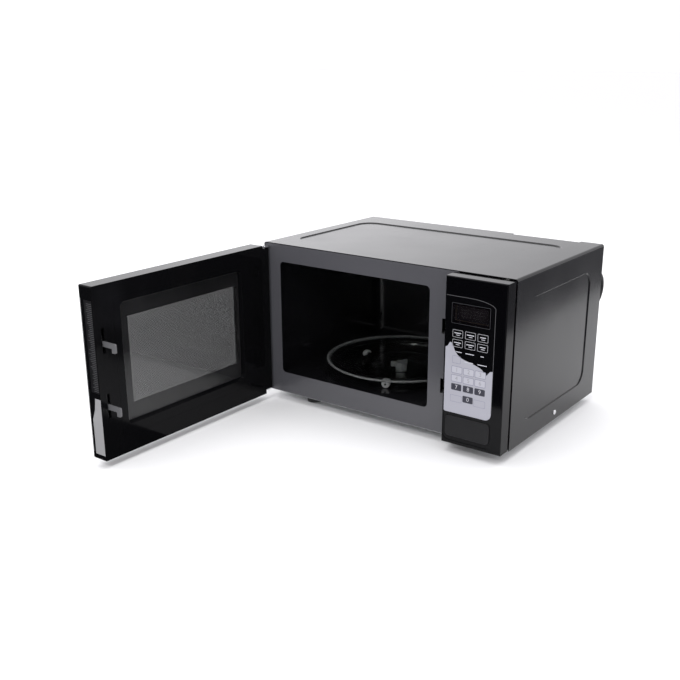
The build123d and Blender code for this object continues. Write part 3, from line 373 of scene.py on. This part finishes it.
def plate_glass_material(centre):
    """Clear glass whose moulded rim is faintly frosted, from one distance from the centre to another."""
    frost_start, frost_end = 0.116, 0.121
    made = see_through("plate_glass", (0.85, 0.88, 0.87), 0.04)
    tree = made.node_tree
    where = tree.nodes.new("ShaderNodeTexCoord")
    away = tree.nodes.new("ShaderNodeVectorMath")
    away.operation = "DISTANCE"
    away.inputs[1].default_value = centre
    tree.links.new(where.outputs["Object"], away.inputs[0])
    clear = mapped(tree, away.outputs["Value"], 1.0, 0.88, frost_start, frost_end)
    tree.links.new(clear, tree.nodes["Principled BSDF"].inputs["Transmission Weight"])
    return made


materials_of = {
    cover_paint: ["outer_cover"],
    frame_paint: ["front_frame"],
    cavity_enamel: ["oven_cavity"],
    gloss_plastic: ["control_fascia"],
    door_gloss: ["door_frame", "door_bezel", "choke_cover"],
    matte_plastic: ["cord_tie", "latch_holder", "interlock_switches", "release_lever", "display_module",
                    "hv_diode"],
    button_plastic: ["release_button"],
    grey_plastic: ["fan_blade"],
    ring_plastic: ["roller_ring"],
    pale_plastic: ["roller_wheel_1", "roller_wheel_2", "roller_wheel_3", "turntable_coupler"],
    hook_plastic: ["door_latch"],
    white_plastic: ["upper_switch_plunger", "lower_switch_plunger", "lamp_socket"],
    rubber: ["feet", "cord_strain_relief"],
    jacket: ["wire_harness"],
    bright_steel: ["case_screws", "upper_hinge_bracket", "lower_hinge_bracket", "hinge_pins"],
    galvanised: ["base_plate", "rear_panel", "turntable_motor", "waveguide", "fan_shroud"],
    spring_steel: ["latch_spring", "release_button_spring"],
    aluminium: ["magnetron", "hv_capacitor", "thermal_cutout"],
    iron: ["transformer_core", "fan_motor"],
    copper: ["transformer_winding"],
    board_laminate: ["control_board", "noise_filter_board"],
    mica: ["waveguide_cover"],
    membrane_black: ["keypad_membrane"],
    tinted_glass: ["door_glass"],
    clear_film: ["door_film"],
    lamp_glass: ["cavity_lamp"],
    display_lens: ["display_window"],
}
for finish, names in materials_of.items():
    for name in names:
        mesh = nodes[name].data
        mesh.materials.clear()
        mesh.materials.append(finish)


# ---------------------------------------------------------------- mains lead, in millimetres
CORD_RADIUS = 3.25
COIL_CENTRE = (128.0, 218.0)
COIL_OUTER, COIL_INNER, COIL_TOP = 42.75, 36.25, 39.5
FLOOR_LAYER, TOP_LAYER = CORD_RADIUS, 3 * CORD_RADIUS
lead_points = [
    (201.0, 170.0, 204.0), (201.0, 190.4, 204.0), (201.0, 205.0, 189.4), (201.0, 205.0, 168.6),
    (201.0, 190.4, 154.0), (201.0, 173.0, 152.0), (200.5, 163.5, 138.0), (200.0, 163.0, 108.0),
    (199.0, 165.0, 64.0), (198.5, 169.0, 28.0), (196.0, 180.0, 8.0), (188.0, 192.0, CORD_RADIUS),
    (177.0, 204.0, CORD_RADIUS), (171.5, 215.0, CORD_RADIUS),
]
tail_points = [
    (118.0, 256.5, TOP_LAYER), (104.0, 254.0, TOP_LAYER), (89.0, 250.5, 8.5), (74.0, 246.0, 4.5),
    (60.0, 240.0, 5.5), (47.0, 233.0, 10.0),
]


def eased(value, start, end):
    """From 0 to 1 as the value goes from start to end, with a soft start and end."""
    share = max(0.0, min(1.0, (value - start) / (end - start)))
    return share * share * (3 - 2 * share)


def coil_points():
    """Two turns side by side on the floor, then a part turn in the groove on top of them."""
    first_angle, angle_step, steps = 14.0, 18.0, 45
    inward, upward, into_groove = (295, 358), (575, 650), (615, 665)
    points = []
    for step in range(steps):
        angle = first_angle + angle_step * step
        radius = COIL_OUTER - (COIL_OUTER - COIL_INNER) * eased(angle, *inward)
        radius += (COIL_TOP - COIL_INNER) * eased(angle, *into_groove)
        height = FLOOR_LAYER + (TOP_LAYER - FLOOR_LAYER) * eased(angle, *upward)
        points.append((COIL_CENTRE[0] + radius * math.cos(math.radians(angle)),
                       COIL_CENTRE[1] + radius * math.sin(math.radians(angle)), height))
    return points


def cord_curve(name, points, radius):
    """One smooth round cord along its control points."""
    curve = bpy.data.curves.new(name, "CURVE")
    curve.dimensions = "3D"
    curve.bevel_depth = radius
    curve.bevel_resolution = 5
    curve.use_fill_caps = True
    spline = curve.splines.new("NURBS")
    spline.points.add(len(points) - 1)
    for control, place in zip(spline.points, points):
        control.co = (*place, 1.0)
    spline.order_u = 3
    spline.use_endpoint_u = True
    spline.resolution_u = 8
    return curve


cord_route = [mm(*point) for point in lead_points + coil_points() + tail_points]
mains_lead = link("mains_lead", cord_curve("mains_lead", cord_route, CORD_RADIUS * MM))
mains_lead.data.materials.append(jacket)
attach(mains_lead, "cabinet")
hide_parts("power_cord", "cord_coil", "cord_tail")


def make_plug():
    """A moulded plug with grip ridges, two flat blades and a round earth pin."""
    heading = Vector((-0.78, -0.62, 0)).normalized()
    across = Vector((-heading.y, heading.x, 0))
    up = Vector((0, 0, 1))
    start = Vector(mm(*tail_points[-1])) + up * 0.5 * MM
    ring_points = 40
    ridges, first_ridge, ridge_pitch = 4, 18, 2.6
    blade_root, blade_length, blade_taper = 33.5, 16.0, 2.5
    blade_offset, blade_lift, blade_thick, blade_tall = 6.35, 3.0, 1.5, 6.3
    pin_drop = 5.5

    def ring(distance, width, height, power):
        """A section between an ellipse, at power 2, and a rectangle."""
        loop = []
        for i in range(ring_points):
            angle = 2 * math.pi * i / ring_points
            c, s = math.cos(angle), math.sin(angle)
            x = math.copysign(abs(c) ** (2 / power), c) * width / 2
            z = math.copysign(abs(s) ** (2 / power), s) * height / 2
            loop.append(start + (heading * distance + across * x + up * z) * MM)
        return loop

    rings = [ring(0, 7.4, 7.4, 2), ring(1, 8.8, 8.8, 2), ring(8, 11, 10.4, 2.2), ring(11.5, 16, 13, 2.6),
             ring(14, 21, 17, 3), ring(16, 22.6, 18.2, 3.2)]
    for ridge in range(ridges):
        at = first_ridge + ridge * ridge_pitch
        rings += [ring(at, 23.2, 18.6, 3.4), ring(at + 0.7, 22, 17.6, 3.4), ring(at + 1.3, 22, 17.6, 3.4),
                  ring(at + 1.9, 23.2, 18.6, 3.4)]
    rings += [ring(30, 23.6, 18.8, 3.6), ring(33, 23.6, 18.8, 3.8), ring(33.9, 22.6, 17.8, 3.8)]
    body = mesh_piece("plug_body", *lofted(rings), rubber, "cabinet", "rubber", smooth=40)

    def blade(offset):
        tip = blade_root + blade_length
        loops = []
        for distance, share in ((blade_root, 1.0), (tip - blade_taper, 1.0), (tip, 0.6)):
            loops.append([start + (heading * distance + across * (offset + sx * blade_thick / 2 * share)
                                   + up * (blade_lift + sz * blade_tall / 2 * share)) * MM
                          for sx, sz in ((-1, -1), (1, -1), (1, 1), (-1, 1))])
        return lofted(loops)

    pin_profile = [(0, 0), (2.4, 0), (2.4, 17), (1.6, 18.8), (0, 19.3)]
    pin = lathe([mm(radius, height) for radius, height in pin_profile],
                start + (heading * blade_root - up * pin_drop) * MM, heading, segments=24)
    blades = mesh_piece("plug_blades", *joined([blade(-blade_offset), blade(blade_offset), pin]), nickel,
                        "cabinet", "bright_steel", smooth=40)
    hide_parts("power_plug")
    return [body, blades]


plug_pieces = make_plug()


# ---------------------------------------------------------------- door screen with real holes
def perforated_screen():
    """The steel screen: a field of round holes in a sheet with a skirt round its edge."""
    pitch_x, pitch_z, hole = 2.5, 2.165, 0.92
    window_x, window_z = (-153.5, 61.5), (78.8, 202.2)
    sheet_x, sheet_z, sheet_corner = (-199.7, 86.7), (40.3, 230.7), 5
    front, back = -152.3, -151.5
    skirt_y, skirt_wall = -161.0, 1.0
    border_overlap, border_corner = 0.3, 0.2
    hole_angles = (-35, 35, 90, 145, 215, 270)
    columns = round((window_x[1] - window_x[0]) / pitch_x)
    rows = round((window_z[1] - window_z[0]) / pitch_z)
    left, bottom = window_x[0], window_z[0]
    right, top = left + pitch_x * columns, bottom + pitch_z * rows
    points, index, faces = [], {}, []

    def at(x, y, z):
        """The number of the point at a place, which neighbours share."""
        key = (round(x, 3), round(y, 3), round(z, 3))
        if key not in index:
            index[key] = len(points)
            points.append(mm(x, y, z))
        return index[key]

    def cell(x, z):
        """One pitch of sheet with a six-sided hole in its middle."""
        half = pitch_x / 2
        corners = [(x + half, z - pitch_z / 2), (x + half, z + pitch_z / 2), (x, z + pitch_z / 2),
                   (x - half, z + pitch_z / 2), (x - half, z - pitch_z / 2), (x, z - pitch_z / 2)]
        turns = [math.radians(angle) for angle in hole_angles]
        rim = [(x + hole * math.cos(turn), z + hole * math.sin(turn)) for turn in turns]
        for i in range(6):
            j = (i + 1) % 6
            for y in (front, back):
                faces.append((at(corners[i][0], y, corners[i][1]), at(corners[j][0], y, corners[j][1]),
                              at(rim[j][0], y, rim[j][1]), at(rim[i][0], y, rim[i][1])))
            faces.append((at(rim[i][0], front, rim[i][1]), at(rim[j][0], front, rim[j][1]),
                          at(rim[j][0], back, rim[j][1]), at(rim[i][0], back, rim[i][1])))

    for row in range(rows):
        z = bottom + pitch_z * (row + 0.5)
        shift = pitch_x / 2 if row % 2 else 0.0
        for column in range(columns - row % 2):
            cell(left + pitch_x * (column + 0.5) + shift, z)
        if shift:
            low, high = z - pitch_z / 2, z + pitch_z / 2
            for x0, x1 in ((left, left + shift), (right - shift, right)):
                for y in (front, back):
                    faces.append((at(x0, y, low), at(x1, y, low), at(x1, y, high), at(x0, y, high)))

    def rectangle(x, z, inset, corner):
        inner_x, inner_z = (x[0] + inset, x[1] - inset), (z[0] + inset, z[1] - inset)
        return [mm(a, b) for a, b in rounded_outline(inner_x, inner_z, (corner,) * 4)]

    outer = rectangle(sheet_x, sheet_z, 0, sheet_corner)
    inner = rectangle((left, right), (bottom, top), border_overlap, border_corner)
    border = ring_prism(outer, inner, (front - 0.05) * MM, (back + 0.02) * MM)
    skirt_inner = rectangle(sheet_x, sheet_z, skirt_wall, sheet_corner - skirt_wall)
    skirt = ring_prism(outer, skirt_inner, skirt_y * MM, front * MM)
    made = mesh_piece("perforated_screen", *swung(joined([(points, faces), border, skirt])), screen_enamel,
                      "door", "screen_steel")
    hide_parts("door_screen")


perforated_screen()


# ---------------------------------------------------------------- glass turntable
def glass_plate():
    """The plate with a rounded bead at its rim and fine rings pressed into it."""
    low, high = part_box("glass_turntable")
    centre = ((low.x + high.x) / 2, (low.y + high.y) / 2, low.z)
    outer, tall = (high.x - low.x) / 2 / MM, (high.z - low.z) / MM
    thick = 4.2
    under = [(0, 0), (91, 0), (93, 0.2), (97, 0.6), (102, 1.7), (108, 3.4), (114, 5.6), (118.5, 7.6)]
    bead = [(outer - 0.9, tall - 3.4), (outer - 0.2, tall - 2.4), (outer, tall - 1.5),
            (outer - 0.3, tall - 0.6), (outer - 1.2, tall - 0.1), (outer - 2.2, tall),
            (outer - 3.2, tall - 0.3), (outer - 4.0, tall - 1.0)]
    over = [(116, 8.6), (111, 6.9), (106, 5.9), (104, 5.8), (103, 6.2), (102, 5.6), (97, 4.6), (92, thick)]
    rings = []
    for radius in (88, 60, 57):
        rings += [(radius + 1.2, thick), (radius + 0.5, thick + 0.5), (radius - 0.5, thick + 0.5),
                  (radius - 1.2, thick)]
    profile = [mm(radius, height) for radius, height in under + bead + over + rings + [(0, thick)]]
    plate = lathe(profile, centre, (0, 0, 1), segments=128)
    made = mesh_piece("glass_plate", *plate, plate_glass_material(centre), "turntable", "clear_glass",
                      smooth=35)
    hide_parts("glass_turntable")


glass_plate()


# ---------------------------------------------------------------- keypad and display
FASCIA_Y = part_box("keypad_membrane")[0].y
PRINT = 0.05 * MM
KEY_COLUMNS = (147.5, 166.0, 184.0)
KEY_ROWS = (126.0, 113.5, 101.0)
ZERO_KEY = (166.0, 86.0)


def print_depth(level):
    """Where a printed layer starts and ends; higher levels lie on lower ones."""
    return FASCIA_Y - PRINT * level, FASCIA_Y - PRINT * (level - 1)


def on_face(outline, level=1):
    """A printed shape on the keypad's face."""
    return prism([mm(x, z) for x, z in outline], *print_depth(level))


def print_outline(x, z, line, radius, level=1):
    """A printed frame with rounded corners."""
    inner_x, inner_z = (x[0] + line, x[1] - line), (z[0] + line, z[1] - line)
    outer = [mm(a, b) for a, b in rounded_outline(x, z, (radius,) * 4, 4)]
    inner = [mm(a, b) for a, b in rounded_outline(inner_x, inner_z, (radius - line / 2,) * 4, 4)]
    return ring_prism(outer, inner, *print_depth(level))


def bar(x, z):
    """A printed bar on the second layer."""
    return on_face([(x[0], z[0]), (x[1], z[0]), (x[1], z[1]), (x[0], z[1])], 2)


def about(x, z, half_x, half_z):
    """The ranges of a rectangle round a point."""
    return (x - half_x, x + half_x), (z - half_z, z + half_z)


def key(x, z, half_x=8, half_z=4.75, corner=1.4):
    """A number key, printed on the second layer."""
    return on_face(rounded_outline(*about(x, z, half_x, half_z), (corner,) * 4, 4), 2)


def painted_reflection_area():
    """The lower, silver-grey part of the keypad, a painted reflection of the bright floor in the glossy
    membrane: two round lower corners, and a free curve on top where the reflection ends.
    """
    left, right, bottom, top = 128.6, 202.4, 62.6, 134.0
    corner_radii = (2.5, 9.4, 0.1, 0.1)
    curve_steps = 4
    edge = [(right, top), (198.0, 132.7), (193.7, 127.6), (190.7, 126.4), (187.6, 132.0), (182.7, 135.3),
            (173.4, 138.5), (164.0, 140.9), (156.2, 143.0), (149.8, 146.1), (143.3, 153.4), (139.9, 161.4),
            (135.8, 164.2), (132.1, 158.5), (left, 156.6)]
    low = [(x, z) for x, z in rounded_outline((left, right), (bottom, top), corner_radii) if z < 90]
    curved = []
    for before, first, second, after in zip([edge[0]] + edge, edge, edge[1:], edge[2:] + [edge[-1]]):
        for step in range(curve_steps):
            t = step / curve_steps
            curved.append(tuple(0.5 * (2 * b + (c - a) * t + (2 * a - 5 * b + 4 * c - d) * t * t
                                       + (3 * b - a - 3 * c + d) * t ** 3)
                                for a, b, c, d in zip(before, first, second, after)))
    return low + curved + [edge[-1]]


def number_keys():
    """Light keys in two rows, dark keys below them, and blue rims round the light and the blank ones."""
    *light_rows, dark_row = KEY_ROWS
    light_places = [(x, z) for z in light_rows for x in KEY_COLUMNS]
    light_keys = [key(x, z) for x, z in light_places]
    dark_keys = [key(x, dark_row) for x in KEY_COLUMNS] + [key(*ZERO_KEY, half_z=4.8)]
    rims = [print_outline(*about(x, z, 8.4, 5.15), 0.7, 1.6, 3) for x, z in light_places]
    for x in (KEY_COLUMNS[0], KEY_COLUMNS[-1]):
        rims.append(print_outline(*about(x, 84.0, 9, 5), 0.4, 1.4, 2))
    rims.append(print_outline((140.0, 153.0), (135.2, 146.0), 0.45, 1.2, 2))
    mesh_piece("keypad_keys", *joined(light_keys), key_light, "cabinet", "membrane")
    mesh_piece("keypad_dark_keys", *joined(dark_keys), print_dark, "cabinet", "membrane")
    mesh_piece("keypad_key_rims", *joined(rims), rim_blue, "cabinet", "membrane")


def icon(x, z, reach):
    """A plain mark inside a key: a long bar over a short one."""
    middle = (x[0] + x[1]) / 2
    base = (z[0] + z[1]) / 2
    return [bar((middle - reach, middle + reach), (base + 0.3, base + 1.5)),
            bar((middle - 2.4, middle + 3.2), (base - 2.3, base - 1.5))]


def function_keys():
    """Two rows of outlined keys with plain marks, and short rules below them."""
    icons, outlines = [], []
    for z in ((172.2, 183.0), (158.6, 169.4)):
        for x, reach in (((139.0, 155.0), 5.2), ((158.5, 174.5), 5.6), ((177.5, 193.5), 4.2)):
            outlines.append(print_outline(x, z, 0.6, 1.3))
            icons += icon(x, z, reach)
    for x, z in (((145, 154), 152), ((160, 173), 152), ((183, 188), 152), ((159, 172), 139.8),
                 ((179, 193), 139.8)):
        icons.append(bar(x, (z - 0.55, z + 0.55)))
    mesh_piece("keypad_icons", *joined(icons), print_light, "cabinet", "membrane")
    mesh_piece("keypad_outlines", *joined(outlines), outline_grey, "cabinet", "membrane")


def keypad():
    """Everything printed on the keypad, from the lowest layer up, with a painted reflection of the floor as
    the lowest layer and a painted highlight along the keypad's top and right edges.
    """
    # lowest layer: the painted reflection of the bright floor on the keypad's lower part
    mesh_piece("keypad_painted_reflection", *on_face(painted_reflection_area()), membrane_painted_reflection, "cabinet", "membrane")
    number_keys()
    function_keys()
    display_rim = print_outline((136.6, 195.4), (191.6, 220.4), 0.5, 1.5)
    mesh_piece("keypad_display_rim", *display_rim, outline_faint, "cabinet", "membrane")
    keypad_rim_painted_highlight()
    places = [(x, z) for z in KEY_ROWS for x in KEY_COLUMNS] + [ZERO_KEY]
    for digit, (x, z) in zip("1234567890", places):
        stamp_digit(digit, x, z, print_light if digit in "7890" else print_dim)


def keypad_rim_painted_highlight():
    """A painted highlight: the thin line along the keypad's top and right edges, round an elliptical corner,
    where the membrane's edge catches the light.
    """
    low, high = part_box("keypad_membrane")
    half_line, inset = 0.35, 0.4
    corner_x, corner_z, corner_steps = 40, 10, 18
    right_x, top_z = high.x / MM - inset, high.z / MM - inset
    path = [(low.x / MM, top_z)]
    for step in range(corner_steps + 1):
        angle = math.radians(90 - 90 / corner_steps * step)
        path.append((right_x - corner_x + corner_x * math.cos(angle),
                     top_z - corner_z + corner_z * math.sin(angle)))
    path.append((right_x, low.z / MM + 12))
    left, right = [], []
    for i, (x, z) in enumerate(path):
        before, after = path[max(0, i - 1)], path[min(len(path) - 1, i + 1)]
        along = Vector((after[0] - before[0], after[1] - before[1])).normalized()
        left.append((x - along.y * half_line, z + along.x * half_line))
        right.append((x + along.y * half_line, z - along.x * half_line))
    # painted highlight: a flat grey line where the membrane's edge would catch the light
    mesh_piece("keypad_rim_painted_highlight", *on_face(left + right[::-1], 2), rule_and_painted_highlight_grey, "cabinet", "membrane")


def stamp_digit(digit, x, z, material):
    """A thin digit just in front of its key."""
    size, half_thickness, layers_out = 8.2 * MM, 0.02 * MM, 2.6
    text = bpy.data.curves.new("digit_" + digit, "FONT")
    text.body = digit
    text.size = size
    text.align_x = "CENTER"
    text.align_y = "CENTER"
    text.extrude = half_thickness
    text.resolution_u = 4
    maker = link("key_digit_" + digit, text)
    maker.matrix_world = (Matrix.Translation((x * MM, FASCIA_Y - PRINT * layers_out, z * MM))
                          @ Matrix.Rotation(math.pi / 2, 4, "X"))
    bpy.context.view_layer.update()
    mesh = bpy.data.meshes.new_from_object(maker.evaluated_get(bpy.context.evaluated_depsgraph_get()))
    mesh.transform(maker.matrix_world)
    bpy.data.objects.remove(maker)
    finish_piece(link("key_digit_" + digit, mesh), material, "cabinet")


def display_digits():
    """Four unlit seven-segment digits and a colon behind the lens."""
    face_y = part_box("display_module")[0].y
    width, height, thick = 6.4, 11.0, 1.2
    digits_x, z0 = (149.0, 157.6, 168.0, 176.6), 200.5
    rise = (height - thick) / 2
    segments = []
    for x0 in digits_x:
        segments += [((x0, x0 + width), (z0 + k * rise, z0 + k * rise + thick)) for k in range(3)]
        for x in (x0, x0 + width - thick):
            segments += [((x, x + thick), (z0 + thick + k * rise, z0 + rise + k * rise)) for k in range(2)]
    segments += [((165.2, 166.4), (203.4, 204.6)), ((165.2, 166.4), (207.4, 208.6))]
    shapes = [box_mesh(mm(*x), (face_y - 0.1 * MM, face_y), mm(*z)) for x, z in segments]
    mesh_piece("display_digits", *joined(shapes), display_unlit, "cabinet", "display_lens")


keypad()
display_digits()


# ---------------------------------------------------------------- door edge
def door_edge_labels_and_reflection():
    """Strips on the free edge of the door: a bright one below, a painted reflection of the bright floor, and
    a dark blank label with fine rows above.
    """
    edge_x, thick = 122.2, 0.1
    row_pitch, row_height, row_start, first_row, last_row = 2.6, 0.8, -146.5, 111.5, 233.5
    # painted reflection: the pale strip stands for the bright floor mirrored low on the door's edge; its
    # slanted top is where the reflection ends
    strip = [(-144.6, 20.0), (-163.5, 20.0), (-163.5, 70.0), (-158.0, 84.0), (-155.6, 101.0), (-144.6, 101.0)]
    low = [mm(edge_x, y, z) for y, z in strip]
    high = [mm(edge_x + thick, y, z) for y, z in strip]
    mesh_piece("door_edge_painted_reflection", *swung(lofted([low, high])), silver_line_and_painted_reflection, "door", "grey_plastic")
    plate = box_mesh(mm(edge_x, edge_x + thick), mm(-161.0, -145.5), mm(109.0, 236.0))
    mesh_piece("door_edge_label", *swung(plate), label_dark, "door", "black_matte_plastic")
    line = box_mesh(mm(edge_x, edge_x + thick), mm(-168.2, -167.6), mm(22.0, 238.0))
    mesh_piece("door_edge_line", *swung(line), silver_line_and_painted_reflection, "door", "grey_plastic")
    rows = []
    z = first_row
    while z < last_row:
        length = random.uniform(7.0, 13.0)
        rows.append(box_mesh(mm(edge_x + thick, edge_x + 1.5 * thick), mm(row_start - length, row_start),
                             mm(z, z + row_height)))
        z += row_pitch
    mesh_piece("door_edge_rules", *swung(joined(rows)), rule_and_painted_highlight_grey, "door", "grey_plastic")


door_edge_labels_and_reflection()


# ---------------------------------------------------------------- floor and light
def even_finish(name, colour, roughness, specular):
    """One even colour, for what isn't the oven."""
    made, _, shader = node_tree(name)
    shader.inputs["Base Color"].default_value = (*colour, 1)
    shader.inputs["Roughness"].default_value = roughness
    shader.inputs["Specular IOR Level"].default_value = specular
    return made


def make_floor():
    """A wide pale floor."""
    bpy.ops.mesh.primitive_plane_add(size=60, location=(0, 0, 0))
    floor = bpy.context.object
    floor.name = "floor"
    floor.data.materials.append(even_finish("paper", (0.88, 0.88, 0.885), 0.8, 0.1))


def make_flag(name, x, y, grey):
    """A card lying on the floor that only reflections see, so that glossy black parts stay dark."""
    corners = [(x[0], y[0], MM), (x[1], y[0], MM), (x[1], y[1], MM), (x[0], y[1], MM)]
    mesh = bpy.data.meshes.new(name)
    mesh.from_pydata(corners, [], [(0, 1, 2, 3)])
    mesh.materials.append(even_finish(name, (grey, grey, grey * 1.06), 1.0, 0.0))
    flag = link(name, mesh)
    flag.visible_camera = False
    flag.visible_diffuse = False
    flag.visible_transmission = False
    flag.visible_shadow = False


def make_world():
    """White all round, and brighter low on the left."""
    bright_side = Vector((-0.95, 0.25, 0.2)).normalized()
    dim, bright, glow_start, glow_end = 1.04, 1.9, 0.62, 0.85
    world = bpy.data.worlds.new("studio")
    bpy.context.scene.world = world
    world.use_nodes = True
    tree = world.node_tree
    background = tree.nodes["Background"]
    background.inputs["Color"].default_value = (0.98, 0.975, 1.0, 1)
    where = tree.nodes.new("ShaderNodeTexCoord")
    toward = tree.nodes.new("ShaderNodeVectorMath")
    toward.operation = "DOT_PRODUCT"
    toward.inputs[1].default_value = bright_side
    tree.links.new(where.outputs["Generated"], toward.inputs[0])
    glow = mapped(tree, toward.outputs["Value"], dim, bright, glow_start, glow_end)
    tree.links.new(glow, background.inputs["Strength"])


def softbox(name, place, aim, size, power):
    """A square lamp of the given side and watts."""
    data = bpy.data.lights.new(name, "AREA")
    data.shape = "SQUARE"
    data.size = size
    data.energy = power
    lamp = link(name, data)
    direction = Vector(aim) - Vector(place)
    lamp.rotation_mode = "QUATERNION"
    lamp.rotation_quaternion = direction.to_track_quat("-Z", "Y")
    lamp.location = place


make_floor()
make_flag("front_flag", (-2.6, 0.34), (-3.0, -0.36), 0.0)
make_flag("far_flag", (0.50, 3.0), (-3.0, 3.0), 0.15)
make_world()
softbox("top_light", (-0.1, 0.1, 2.6), (0, 0, 0.1), 3.0, 45)
softbox("front_light", (0.25, -1.5, 1.2), (-0.05, 0, 0.05), 0.25, 7)
bpy.context.scene.view_settings.view_transform = "Standard"
